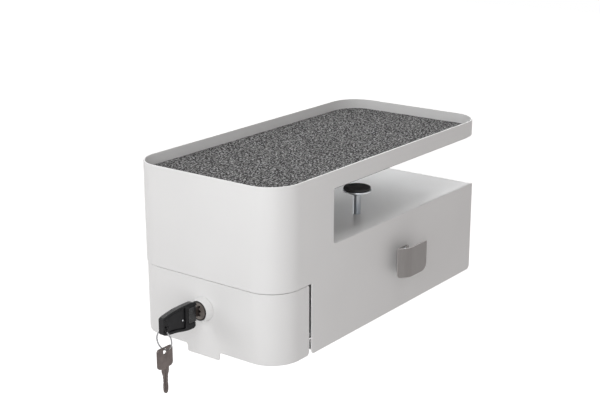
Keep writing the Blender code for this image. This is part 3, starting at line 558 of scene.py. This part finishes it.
def verts_of(geometry):
    return [item for item in geometry if isinstance(item, bmesh.types.BMVert)]


def remove_faces(bm, test):
    """Delete the faces whose middle passes a test."""
    doomed = [face for face in bm.faces if test(face.calc_center_median())]
    bmesh.ops.delete(bm, geom=doomed, context="FACES")


def corners_at(bm, spots):
    """The vertices at the given (y, z) or full places."""
    found = []
    for vert in bm.verts:
        for spot in spots:
            offset = Vector(spot) - (vert.co if len(spot) == 3 else vert.co.yz)
            if offset.length < SAME_SPOT:
                found.append(vert)
    return found


def round_corners(bm, spots, radius, steps=6):
    """Round the corners that open walls have at these places."""
    bevel(bm, corners_at(bm, spots), radius, steps, "VERTICES")


def join_flats(bm):
    """Make one face of neighbours that lie in one plane."""
    bmesh.ops.dissolve_limit(bm, angle_limit=math.radians(0.5), verts=bm.verts,
                             edges=bm.edges)


def upright_walls(half_width, front, back, low, high):
    """Four flat walls round a plan, open above and below."""
    bm = block((-half_width, front, low), (half_width, back, high))
    bmesh.ops.delete(bm, geom=[f for f in bm.faces if abs(f.normal.z) > 0.5],
                     context="FACES_ONLY")
    return bm


def round_uprights(bm, y, radius):
    """Round the upright edges at this place along Y into large corners."""
    edges = [e for e in bm.edges if all(abs(v.co.y - y) < WELD for v in e.verts)
             and abs(e.verts[0].co.z - e.verts[1].co.z) > WELD]
    bevel(bm, edges, radius, sizes().corner_steps, "EDGES")


def thicken(piece, thickness):
    """Give open walls their sheet's thickness, inwards."""
    solid = piece.modifiers.new("sheet_thickness", "SOLIDIFY")
    solid.thickness = thickness
    solid.offset = -1
    solid.use_even_offset = True


class Shell:
    """Sizes of the outer shell, in metres, and its heights from the rim down."""

    half = 91 * MM
    front = -87 * MM
    panel = -35 * MM
    housing_back = 266 * MM
    tray_back = 285 * MM
    front_radius = 32.5 * MM
    back_radius = 33 * MM
    slot_corner = 3 * MM
    back_corner = 5 * MM
    foot_corner = 3.5 * MM
    sheet = 1.5 * MM
    rim = 19 * MM
    band = 1.5 * MM
    top = -53.5 * MM
    seam = -83.15 * MM
    bottom = -155 * MM


class DRAWER_OT_shell(bpy.types.Operator):
    """Build the white outer shell of the tray, column and housing"""

    bl_idname = "drawer.shell"
    bl_label = "Shell"

    def execute(self, context):
        s = Shell
        bm = upright_walls(s.half, s.front, s.tray_back, s.bottom, s.rim)
        for z in (s.band, s.top, s.seam):
            slice_at(bm, (0, 0, z), (0, 0, 1))
        for y in (0, s.panel, s.housing_back):
            slice_at(bm, (0, y, 0), (0, 1, 0))
        remove_faces(bm, lambda c: c.y > 0 and s.top < c.z < s.band)
        remove_faces(bm, lambda c: c.z < s.band and c.y > s.housing_back)
        remove_faces(bm, lambda c: c.z < s.seam and c.y < s.panel)
        remove_faces(bm, lambda c: c.z < s.top and c.y > s.housing_back - WELD)
        join_flats(bm)
        round_uprights(bm, s.front, s.front_radius)
        round_uprights(bm, s.tray_back, s.back_radius)
        round_corners(bm, [(0, s.top)], s.slot_corner)
        round_corners(bm, [(s.housing_back, s.bottom)], s.back_corner, 8)
        round_corners(bm, [(s.panel, s.bottom)], s.foot_corner)
        piece = add_piece("shell_skin", bm, "housing", "white_powder_coat", ("shell",))
        thicken(piece, s.sheet)
        round_edges(piece, sizes().sheet_edge)
        return {"FINISHED"}


def felt_sheet(bm, top_z, thick, cell):
    """Cut a flat felt into cells, thicken it and give its face a slight unevenness."""
    low = Vector((min(v.co.x for v in bm.verts), min(v.co.y for v in bm.verts)))
    high = Vector((max(v.co.x for v in bm.verts), max(v.co.y for v in bm.verts)))
    for axis in (0, 1):
        count = int((high[axis] - low[axis]) / cell)
        for step in range(1, count):
            spot = Vector((0, 0, top_z))
            across = Vector((0, 0, 0))
            spot[axis] = low[axis] + (high[axis] - low[axis]) * step / count
            across[axis] = 1
            slice_at(bm, spot, across)
    raised = verts_of(bmesh.ops.extrude_face_region(bm, geom=bm.faces[:])["geom"])
    under = list(set(bm.verts) - set(raised))
    bmesh.ops.translate(bm, vec=(0, 0, -thick), verts=under)
    swells_per_metre, sunk = 60, 0.6
    for vert in raised:
        spot = Vector((vert.co.x * swells_per_metre, vert.co.y * swells_per_metre, 1.7))
        vert.co.z += sizes().felt_wave * (noise.noise(spot) - sunk)
    bmesh.ops.recalc_face_normals(bm, faces=bm.faces)
    return bm


def lay_felt(name, body, node, cell, radius=0.0):
    """Lay a felt with a node's plan on its floor, with round corners if it has a radius."""
    low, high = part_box(node)
    flat = (high.x - low.x, high.y - low.y)
    bm = bmesh.new()
    bmesh.ops.create_grid(bm, x_segments=1, y_segments=1, size=0.5)
    bmesh.ops.scale(bm, vec=(*flat, 1), verts=bm.verts)
    bmesh.ops.translate(bm, vec=(0, (high.y + low.y) / 2, high.z), verts=bm.verts)
    if radius:
        bevel(bm, bm.verts[:], radius, sizes().corner_steps, "VERTICES")
    area = sum(face.calc_area() for face in bm.faces)
    felt = felt_sheet(bm, high.z, high.z - low.z, cell)
    piece = add_piece(name, felt, body, "grey_felt", (node,))
    round_edges(piece, sizes().felt_edge, 3, 50)


class DRAWER_OT_tray(bpy.types.Operator):
    """Lay the felt in the tray and finish its floor and the rubber pad below"""

    bl_idname = "drawer.tray"
    bl_label = "Tray and felt"

    def execute(self, context):
        lay_felt("tray_felt_cloth", "housing", "tray_felt", cell=5 * MM,
                 radius=Shell.front_radius - 2 * MM)
        dress("tray_floor", "white_powder_coat", PLATE_EDGE)
        dress("desk_pad", "black_rubber", 0.4 * MM)
        return {"FINISHED"}


class DRAWER_OT_plates(bpy.types.Operator):
    """Finish the fixed plates inside and behind the shell, and the bumpers"""

    bl_idname = "drawer.plates"
    bl_label = "Fixed plates"

    def execute(self, context):
        for node in ("edge_plate", "top_plate", "back_plate", "column_base",
                     "bottom_flange_left", "bottom_flange_right"):
            dress(node, "white_powder_coat", PLATE_EDGE)
        dress("lock_strike", "zinc_plate", PLATE_EDGE)
        for side in ("left", "right"):
            dress("bumper_" + side, "black_rubber", 0.8 * MM, 3)
        return {"FINISHED"}


class Front:
    """Sizes of the drawer's front and its pull tab, in metres."""

    inset = 0.8 * MM
    half = Shell.half - inset
    face = Shell.front + inset
    wing = -38 * MM
    top = -83.85 * MM
    tab = (-22.5 * MM, 18.5 * MM)
    tab_drop = 8.1 * MM
    tab_root = 2.5 * MM
    small_corner = 2 * MM
    lock_hole = 9.3 * MM


class DRAWER_OT_front(bpy.types.Operator):
    """Build the wrap-around drawer front with its pull tab, and the plates behind it"""

    bl_idname = "drawer.front"
    bl_label = "Drawer front"

    def execute(self, context):
        f, bottom = Front, Shell.bottom
        bm = upright_walls(f.half, f.face, f.wing, bottom, f.top)
        remove_faces(bm, lambda c: c.y > f.wing - WELD)
        round_uprights(bm, f.face, Shell.front_radius - f.inset)
        self.draw_tab_down(bm)
        join_flats(bm)
        round_corners(bm, [(x, f.face, bottom) for x in f.tab], f.tab_root)
        round_corners(bm, [(x, f.face, bottom - f.tab_drop) for x in f.tab], f.small_corner)
        round_corners(bm, [(f.wing, bottom)], Shell.foot_corner)
        round_corners(bm, [(f.wing, f.top)], f.small_corner)
        piece = add_piece("drawer_face", bm, "drawer", "white_powder_coat", ("drawer_front",))
        thicken(piece, Shell.sheet)
        carve(piece, drill((0, f.face, LOCK_Z), f.lock_hole, 8 * MM))
        round_edges(piece, sizes().sheet_edge)
        for part in ("cap", "base"):
            dress("front_" + part, "white_powder_coat", PLATE_EDGE)
        for side in ("left", "right"):
            dress("front_bracket_" + side, "zinc_plate", PLATE_EDGE)
        return {"FINISHED"}

    def draw_tab_down(self, bm):
        """Draw part of the front's bottom edge down into the bare pull tab."""
        left, right = Front.tab
        for x in Front.tab:
            slice_at(bm, (x, 0, 0), (1, 0, 0))
        edges = [e for e in bm.edges if all(
            abs(v.co.z - Shell.bottom) < WELD and left - WELD < v.co.x < right + WELD
            and v.co.y < Front.face + WELD for v in e.verts)]
        moved = verts_of(bmesh.ops.extrude_edge_only(bm, edges=edges)["geom"])
        bmesh.ops.translate(bm, vec=(0, 0, -Front.tab_drop), verts=moved)
        bmesh.ops.recalc_face_normals(bm, faces=bm.faces)


class DRAWER_OT_box(bpy.types.Operator):
    """Build the drawer's box with its rounded folds, and lay the felt in it"""

    bl_idname = "drawer.box"
    bl_label = "Drawer box"

    def execute(self, context):
        fold, sheet, edge = 1.6 * MM, 1.2 * MM, 0.4 * MM
        low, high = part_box("drawer_box")
        bm = block(low, high)
        bmesh.ops.delete(bm, geom=[f for f in bm.faces if f.normal.z > 0.5],
                         context="FACES_ONLY")
        edges = [e for e in bm.edges if not all(abs(v.co.z - high.z) < WELD for v in e.verts)]
        bevel(bm, edges, fold, 4, "EDGES")
        tub = add_piece("drawer_tub", bm, "drawer", "white_powder_coat", ("drawer_box",))
        thicken(tub, sheet)
        round_edges(tub, edge)
        lay_felt("drawer_felt_cloth", "drawer", "drawer_felt", cell=8 * MM)
        return {"FINISHED"}


class DRAWER_OT_slides(bpy.types.Operator):
    """Finish the three nested members of each slide"""

    bl_idname = "drawer.slides"
    bl_label = "Slides"

    def execute(self, context):
        for member in ("outer", "mid", "inner"):
            for side in ("left", "right"):
                dress("slide_%s_%s" % (member, side), "zinc_plate", 0.35 * MM)
        return {"FINISHED"}


def cross_recess(centre, across, depth):
    """Cutters for the cross in the head of a screw along X."""
    arm = across * 0.22
    halves = [Vector(size) / 2 for size in ((depth * 2, arm, across), (depth * 2, across, arm))]
    return [block(Vector(centre) - half, Vector(centre) + half) for half in halves]


class Hook:
    """Sizes of the bag hook, in metres: its bend is drawn longer than the solid has it."""

    edge = 0.7 * MM
    sheet = 1.6 * MM
    root_top = -89.6 * MM
    bend_y = 106.8 * MM
    bend_turn = math.atan2(8.8, 9.0)
    short_bend = 8 * MM
    long_bend = 15 * MM
    slack = 0.1 * MM
    turn_slack = 0.01


class DRAWER_OT_hook(bpy.types.Operator):
    """Finish the bag hook and its screws"""

    bl_idname = "drawer.hook"
    bl_label = "Bag hook"

    def execute(self, context):
        self.make_plate()
        for number in (1, 2):
            node = "hook_screw_%d" % number
            low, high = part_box(node)
            middle = (low + high) / 2
            rise = high.x - low.x
            profile = [(0, 0), (3.8 * MM, 0), (3.8 * MM, 0.5 * MM), (3.5 * MM, 1.2 * MM),
                       (2.8 * MM, 1.8 * MM), (1.6 * MM, rise), (0, rise)]
            head = add_piece("hook_screw_head_%d" % number,
                             turned(profile, "X", (low.x, middle.y, middle.z)), "housing",
                             "zinc_plate", (node,))
            carve(head, *cross_recess((high.x, middle.y, middle.z), 4 * MM, 1.2 * MM))
            round_edges(head, FINE_EDGE, 2)
        return {"FINISHED"}

    def make_plate(self):
        """The bent plate, with a painted highlight in brighter metal on its rounded edges, its top
        and its nose end.
        """
        bm = node_copy("bag_hook")
        low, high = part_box("bag_hook")
        solid_top = max(v.co.z for v in bm.verts if v.co.x < low.x + MM)
        for vert in bm.verts:
            if vert.co.x < low.x + 2 * MM and vert.co.z > solid_top - WELD:
                vert.co.z = Hook.root_top
        self.widen_bend(bm, high.x)
        # Painted highlight: the top and the nose end take the brighter metal, as the rounded edges
        # do.
        for face in bm.faces:
            top = face.normal.z > 0.9 and face.calc_center_median().z > high.z - WELD
            nose_end = face.normal.x < -0.3 and face.normal.y < -0.3
            face.material_index = int(top or nose_end)
        hook = add_piece("hook_plate", bm, "housing", "satin_metal", ("bag_hook",))
        round_edges(hook, Hook.edge)
        finish_edges(hook, "hook_edge")

    def widen_bend(self, bm, outer):
        """Draw the bend between nose and tongue out into a longer curve."""
        h = Hook
        old, new = (Vector((outer - bend, h.bend_y + bend * math.tan(h.bend_turn / 2)))
                    for bend in (h.short_bend, h.long_bend))
        for vert in bm.verts:
            arm = vert.co.xy - old
            angle = math.atan2(arm.y, arm.x)
            in_sheet = -h.sheet - h.slack < arm.length - h.short_bend < h.slack
            if in_sheet and -h.bend_turn - h.turn_slack < angle < h.turn_slack:
                vert.co.xy = new + arm.normalized() * (arm.length + h.long_bend - h.short_bend)


class Keyway:
    """Sizes of the lock's plug and keyway, in metres: each ward is (x, z, radius)."""

    step = -91.8 * MM
    half_width = 1.1 * MM
    half_height = 4.9 * MM
    end = -67 * MM
    wards = ((1.3 * MM, 4.5 * MM, 1.2 * MM), (1.6 * MM, -0.1 * MM, 1.5 * MM),
             (1.3 * MM, -4.3 * MM, 1.15 * MM))


class DRAWER_OT_lock(bpy.types.Operator):
    """Build the lock's collar, plug, barrel and cam"""

    bl_idname = "drawer.lock"
    bl_label = "Lock"

    def execute(self, context):
        centre = (0, 0, LOCK_Z)
        low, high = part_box("lock_collar")
        front, back = low.y, high.y
        profile = [(9.9 * MM, back), (12.4 * MM, back), (12.4 * MM, back - 0.5 * MM),
                   (12.1 * MM, back - 1.0 * MM), (11.2 * MM, front + 0.5 * MM),
                   (11.05 * MM, front + 0.15 * MM), (10.7 * MM, front), (10.1 * MM, front),
                   (9.9 * MM, front + 0.2 * MM)]
        collar = add_piece("lock_collar_cone", turned(profile, "Y", centre, 96), "drawer",
                           "white_powder_coat", ("lock_collar",))
        round_edges(collar, TURNED_EDGE, 2, 40)
        self.make_plug(centre)
        for node, edge in (("lock_barrel", 0.4), ("lock_nut", 0.5), ("lock_cam", 0.3),
                           ("cam_screw", 0.4)):
            dress(node, "zinc_plate", edge * MM)
        return {"FINISHED"}

    def make_plug(self, centre):
        """The plug with its sunk face and its keyway."""
        k = Keyway
        low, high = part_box("lock_plug")
        face, back = low.y, high.y
        profile = [(0, face + 0.25 * MM), (8.2 * MM, face + 0.25 * MM), (8.5 * MM, face),
                   (9.2 * MM, face), (9.6 * MM, face + 0.4 * MM), (9.6 * MM, k.step),
                   (6.4 * MM, k.step), (6.4 * MM, back), (0, back)]
        plug = add_piece("lock_plug_turned", turned(profile, "Y", centre, 96), "lock",
                         "dark_bronze", ("lock_plug",))
        slot = block((-k.half_width, face - MM, LOCK_Z - k.half_height),
                     (k.half_width, k.end, LOCK_Z + k.half_height))
        wards = [drill((x, face, LOCK_Z + z), radius, 8 * MM, 24) for x, z, radius in k.wards]
        carve(plug, slot, *wards)
        round_edges(plug, TURNED_EDGE, 2, 40)


def key_notch(y, z):
    """Cutter for one V-shaped cut in a key's edge, on one of its corners."""
    bm = block((-2 * MM, -1.5 * MM, -1.5 * MM), (2 * MM, 1.5 * MM, 1.5 * MM))
    bmesh.ops.rotate(bm, cent=(0, 0, 0), verts=bm.verts,
                     matrix=Matrix.Rotation(HALF_TURN / 4, 3, "X"))
    bmesh.ops.translate(bm, vec=(0, y, z), verts=bm.verts)
    return bm


def key_groove(side, floor, y, z):
    """Cutter for a groove in the left (-1) or right (1) flat of a key."""
    near, far = sorted((side * floor, side * 2 * MM))
    return block((near, y[0], z[0]), (far, y[1], z[1]))


class Grip:
    """Sizes of the folding grip's sunk sides, in metres: the rivet's place is (y, z)."""

    floor = 1.3 * MM
    floor_end = -114.3 * MM
    moat_width = 1.2 * MM
    moat_depth = 0.9 * MM
    rivet = (-117.3 * MM, LOCK_Z - 1.6 * MM)
    small_face = 1e-5


class DRAWER_OT_key(bpy.types.Operator):
    """Build the folding key: its cut blade, head, grip and fold pins"""

    bl_idname = "drawer.key"
    bl_label = "Folding key"

    def execute(self, context):
        blade = add_piece("key_blade_cut", node_copy("key_blade"), "key", "nickel_key",
                          ("key_blade",))
        first, pitch, half_blade, reach = -89, 4.2, 4.5, 1.5
        notches = [key_notch((first + pitch * number) * MM,
                             LOCK_Z + sign * (half_blade - depth + reach) * MM)
                   for sign in (-1, 1) for number, depth in enumerate((1.1, 0.6, 1.3, 0.8))]
        length = (-96 * MM, -71.5 * MM)
        carve(blade, *notches,
              key_groove(1, 0.6 * MM, length, (LOCK_Z - 0.9 * MM, LOCK_Z + 0.3 * MM)),
              key_groove(-1, 0.6 * MM, length, (LOCK_Z + 0.4 * MM, LOCK_Z + 1.6 * MM)))
        round_edges(blade, FINE_EDGE, 2)
        # The head block is all in the lighter, glossier plastic: a painted highlight.
        head = add_piece("key_head_block", node_copy("key_head"), "key", "black_plastic",
                         ("key_head",), "grip_edge")
        round_edges(head, 0.5 * MM)
        self.make_grip()
        for node in ("fold_pin_top", "fold_pin_bottom"):
            dress(node, "zinc_plate", 0.2 * MM)
        return {"FINISHED"}

    def make_grip(self):
        """The grip with a moat round the raised panel in each sunk side, a painted highlight on
        its top faces and edges, and its rivets.
        """
        bm = node_copy("key_bow")
        g = Grip
        moved = {vert.co.yz.to_tuple(6) for vert in bm.verts
                 if abs(abs(vert.co.x) - g.floor) < WELD and vert.co.y > g.floor_end}
        for vert in bm.verts:
            if vert.co.yz.to_tuple(6) in moved:
                vert.co.y = g.floor_end
        bmesh.ops.remove_doubles(bm, verts=bm.verts, dist=WELD)
        for sign in (-1, 1):
            panels = [f for f in bm.faces if f.normal.x * sign > 0.9
                      and abs(f.calc_center_median().x - sign * g.floor) < WELD]
            ring = bmesh.ops.inset_region(bm, faces=panels, thickness=g.moat_width)["faces"]
            sunk = verts_of(bmesh.ops.extrude_face_region(bm, geom=ring)["geom"])
            bmesh.ops.translate(bm, vec=(-sign * g.moat_depth, 0, 0), verts=sunk)
            bmesh.ops.delete(bm, geom=[f for f in ring if f.is_valid], context="FACES_ONLY")
        low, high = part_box("key_bow")
        middle = (low.z + high.z) / 2
        # Painted highlight: the top faces of the upper half take the lighter, glossier plastic, as
        # the rounded edges do.
        for face in bm.faces:
            on_top = face.normal.z > 0.4 and face.calc_center_median().z > middle
            face.material_index = int(on_top and face.calc_area() > g.small_face)
        grip = add_piece("key_grip", bm, "bow", "black_plastic", ("key_bow",))
        round_edges(grip, PLATE_EDGE)
        finish_edges(grip, "grip_edge")
        for side, sign in (("left", -1), ("right", 1)):
            profile = [(0, 0), (0.95 * MM, 0), (0.85 * MM, 0.35 * MM), (0.5 * MM, 0.6 * MM),
                       (0, 0.7 * MM)]
            head = turned([(radius, sign * along) for radius, along in profile], "X",
                          (sign * g.floor, *g.rivet), 24)
            add_piece("grip_rivet_" + side, head, "bow", "zinc_plate")


class DRAWER_OT_ring(bpy.types.Operator):
    """Build the split key ring and the spare key that hangs from it"""

    bl_idname = "drawer.ring"
    bl_label = "Ring and spare key"

    def execute(self, context):
        coil, turns, steps, end_gap = 0.55 * MM, 2, 160, 0.12
        half_out, half_side = 0.6 * MM, 0.26 * MM
        bm = bmesh.new()
        centre = Vector((0, RING_Y - coil, RING_CENTRE_Z))
        corners = []
        for out, side in ((-1, -1), (1, -1), (1, 1), (-1, 1)):
            spot = centre + Vector((RING_RADIUS + out * half_out, side * half_side, 0))
            corners.append(bm.verts.new(spot))
        section = bm.faces.new(corners)
        bmesh.ops.spin(bm, geom=[section], cent=centre, axis=(0, 1, 0),
                       dvec=(0, turns * coil / steps, 0),
                       angle=turns * 2 * HALF_TURN - end_gap, steps=steps)
        bmesh.ops.rotate(bm, cent=centre, verts=bm.verts,
                         matrix=Matrix.Rotation(math.radians(35), 3, "Y"))
        bmesh.ops.recalc_face_normals(bm, faces=bm.faces)
        ring = add_piece("split_ring", bm, "ring", "zinc_plate", ("key_ring",), "ring_steel")
        round_edges(ring, 0.16 * MM, 2, 50)
        spare = add_piece("spare_key_cut", node_copy("spare_key"), "spare", "nickel_key",
                          ("spare_key",))
        # Each groove in mm: its side and floor, its edges either side of the ring, its top
        grooves = ((1, 0.4, -1.7, -0.5, -156), (1, 0.5, 0.6, 1.3, -154),
                   (-1, 0.5, -0.6, 0.6, -156))
        carve(spare, *(key_groove(side, floor * MM, (RING_Y + start * MM, RING_Y + end * MM),
                                  (-177 * MM, top * MM))
                       for side, floor, start, end, top in grooves))
        round_edges(spare, 0.25 * MM, 2)
        return {"FINISHED"}


def threaded_shaft(centre, low, high, outer, pitch):
    """A core with one helical ridge wound round it, which stops short of both ends."""
    plain_end, steps_per_turn = 0.6, 24
    depth = 0.6 * pitch
    core = outer - depth
    foot, foot_rise, crest_rise = core - 0.05 * MM, 0.42 * pitch, 0.08 * pitch
    shaft = turned([(0, low), (core, low), (core, high), (0, high)], "Z",
                   (centre[0], centre[1], 0), 32)
    turns = (high - low) / pitch - 2 * plain_end
    steps = int(turns * steps_per_turn)
    ridge = bmesh.new()
    start = Vector((centre[0], centre[1], low + plain_end * pitch))
    corners = [ridge.verts.new(start + Vector((radius, 0, rise))) for radius, rise in (
        (foot, -foot_rise), (outer, -crest_rise), (outer, crest_rise), (foot, foot_rise))]
    section = ridge.faces.new(corners)
    bmesh.ops.spin(ridge, geom=[section], cent=start, axis=(0, 0, 1),
                   dvec=(0, 0, turns * pitch / steps), angle=turns * 2 * HALF_TURN,
                   steps=steps)
    bmesh.ops.recalc_face_normals(ridge, faces=ridge.faces)
    return join(shaft, ridge)


class DRAWER_OT_clamps(bpy.types.Operator):
    """Build the two screw clamps: threaded spindles, cups, discs, nuts and knobs"""

    bl_idname = "drawer.clamps"
    bl_label = "Clamps"

    def execute(self, context):
        for side, sign in (("left", -1), ("right", 1)):
            node = "clamp_spindle_" + side
            low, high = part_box(node)
            shaft = threaded_shaft((sign * CLAMP_X, CLAMP_Y), low.z, high.z, 4 * MM, 1.25 * MM)
            add_piece("clamp_thread_" + side, shaft, "clamp_screw_" + side, "zinc_plate",
                      (node,)).data.set_sharp_from_angle(angle=math.radians(40))
            dress("clamp_nut_" + side, "zinc_plate", 0.5 * MM)
            dress("clamp_cup_" + side, "zinc_plate", PLATE_EDGE)
            dress("clamp_rubber_" + side, "black_rubber", 0.5 * MM, 3)
            dress("clamp_knob_" + side, "black_plastic", 0.5 * MM, 3)
        return {"FINISHED"}


def rays_that_see(tree):
    """One for camera, glossy and transmission rays, which see the white backdrop."""
    rays = tree.nodes.new("ShaderNodeLightPath")
    seen = rays.outputs["Is Camera Ray"]
    for name in ("Is Glossy Ray", "Is Transmission Ray"):
        either = tree.nodes.new("ShaderNodeMath")
        either.operation = "MAXIMUM"
        tree.links.new(seen, either.inputs[0])
        tree.links.new(rays.outputs[name], either.inputs[1])
        seen = either.outputs[0]
    return seen


def show_by_ray(tree, plain, seen, output):
    """Camera and mirror rays meet one shader, and the rays that light things a plain one."""
    mixed = tree.nodes.new("ShaderNodeMixShader")
    tree.links.new(rays_that_see(tree), mixed.inputs["Fac"])
    tree.links.new(plain.outputs[0], mixed.inputs[1])
    tree.links.new(seen.outputs[0], mixed.inputs[2])
    tree.links.new(mixed.outputs[0], output.inputs["Surface"])


def paint_floor(colour, lift):
    """Plain pale floor, lifted to the backdrop's white where it is seen, with its shadow."""
    finish = Finish("studio_floor", 0.9)
    finish.colour((*colour, 1.0))
    tree = finish.tree
    lifted = tree.nodes.new("ShaderNodeEmission")
    lifted.inputs["Strength"].default_value = lift
    both = tree.nodes.new("ShaderNodeAddShader")
    tree.links.new(finish.shader.outputs[0], both.inputs[0])
    tree.links.new(lifted.outputs[0], both.inputs[1])
    show_by_ray(tree, finish.shader, both, tree.nodes["Material Output"])
    return finish.material


def light_world(level, colour):
    """Even light from all round, with a white backdrop for the camera and for reflections."""
    world = bpy.data.worlds.new("studio_world")
    bpy.context.scene.world = world
    world.use_nodes = True
    tree = world.node_tree
    tree.nodes.clear()
    plain = tree.nodes.new("ShaderNodeBackground")
    plain.inputs["Color"].default_value = (*colour, 1.0)
    plain.inputs["Strength"].default_value = level
    white = tree.nodes.new("ShaderNodeBackground")
    white.inputs["Color"].default_value = (1.0, 1.0, 1.0, 1.0)
    show_by_ray(tree, plain, white, tree.nodes.new("ShaderNodeOutputWorld"))


def soft_light(name, place, width, power):
    """A square lamp that faces the unit."""
    data = bpy.data.lights.new(name, "AREA")
    data.shape = "SQUARE"
    data.size = width
    data.energy = power
    data.color = bpy.context.scene.drawer_studio.lamp_colour
    lamp = add_object(name, data)
    lamp.location = place
    aim = Vector(LAMP_TARGET) - Vector(place)
    lamp.rotation_euler = aim.to_track_quat("-Z", "Y").to_euler()


class DRAWER_OT_stage(bpy.types.Operator):
    """Set up the floor, the light, the world and the camera"""

    bl_idname = "drawer.stage"
    bl_label = "Studio"

    def execute(self, context):
        scene = context.scene
        studio = scene.drawer_studio
        bm = bmesh.new()
        bmesh.ops.create_grid(bm, x_segments=1, y_segments=1, size=FLOOR_REACH)
        bmesh.ops.translate(bm, vec=(0, 0, -studio.floor_drop), verts=bm.verts)
        mesh = mesh_of(bm, "floor")
        mesh.materials.append(paint_floor(studio.floor, studio.floor_lift))
        add_object("floor", mesh)
        light_world(studio.sky, studio.sky_colour)
        for side, (place, width) in LAMPS.items():
            soft_light(side + "_light", place, width, getattr(studio, side + "_power"))
        self.place_camera(scene)
        scene.view_settings.view_transform = "Standard"
        return {"FINISHED"}

    def place_camera(self, scene):
        """Put the camera where the photograph was taken from."""
        data = bpy.data.cameras.new("camera")
        data.lens = CAMERA_LENS
        data.sensor_width = CAMERA_SENSOR
        data.clip_start = 0.05
        data.clip_end = 50
        camera = add_object("camera", data)
        camera.matrix_world = (Matrix.Translation(CAMERA_PLACE)
                               @ Matrix.Rotation(CAMERA_YAW, 4, "Z")
                               @ Matrix.Rotation(HALF_TURN / 2 - CAMERA_PITCH, 4, "X")
                               @ Matrix.Rotation(CAMERA_ROLL, 4, "Z"))
        scene.camera = camera


STEPS = (DRAWER_OT_shell, DRAWER_OT_tray, DRAWER_OT_plates, DRAWER_OT_front, DRAWER_OT_box,
         DRAWER_OT_slides, DRAWER_OT_hook, DRAWER_OT_lock, DRAWER_OT_key, DRAWER_OT_ring,
         DRAWER_OT_clamps, DRAWER_OT_stage)


class DRAWER_PT_panel(bpy.types.Panel):
    """Sidebar panel that lists the unit's pieces"""

    bl_idname = "DRAWER_PT_panel"
    bl_label = "Desk drawer"
    bl_space_type = "VIEW_3D"
    bl_region_type = "UI"
    bl_category = "Desk drawer"

    def draw(self, context):
        for step in STEPS:
            self.layout.operator(step.bl_idname)
        for group in (context.scene.drawer_colours, context.scene.drawer_sizes,
                      context.scene.drawer_studio):
            box = self.layout.box()
            for name in group.__annotations__:
                box.prop(group, name)


GROUPS = (DrawerColours, DrawerSizes, DrawerStudio)


def register():
    for item in (*GROUPS, *STEPS, DRAWER_PT_panel):
        bpy.utils.register_class(item)
    bpy.types.Scene.drawer_colours = PointerProperty(type=DrawerColours)
    bpy.types.Scene.drawer_sizes = PointerProperty(type=DrawerSizes)
    bpy.types.Scene.drawer_studio = PointerProperty(type=DrawerStudio)


def unregister():
    del bpy.types.Scene.drawer_studio
    del bpy.types.Scene.drawer_sizes
    del bpy.types.Scene.drawer_colours
    for item in (DRAWER_PT_panel, *reversed(STEPS), *reversed(GROUPS)):
        bpy.utils.unregister_class(item)


def main():
    register()
    for step in STEPS:
        group, name = step.bl_idname.split(".")
        getattr(getattr(bpy.ops, group), name)()


if __name__ == "__main__":
    main()
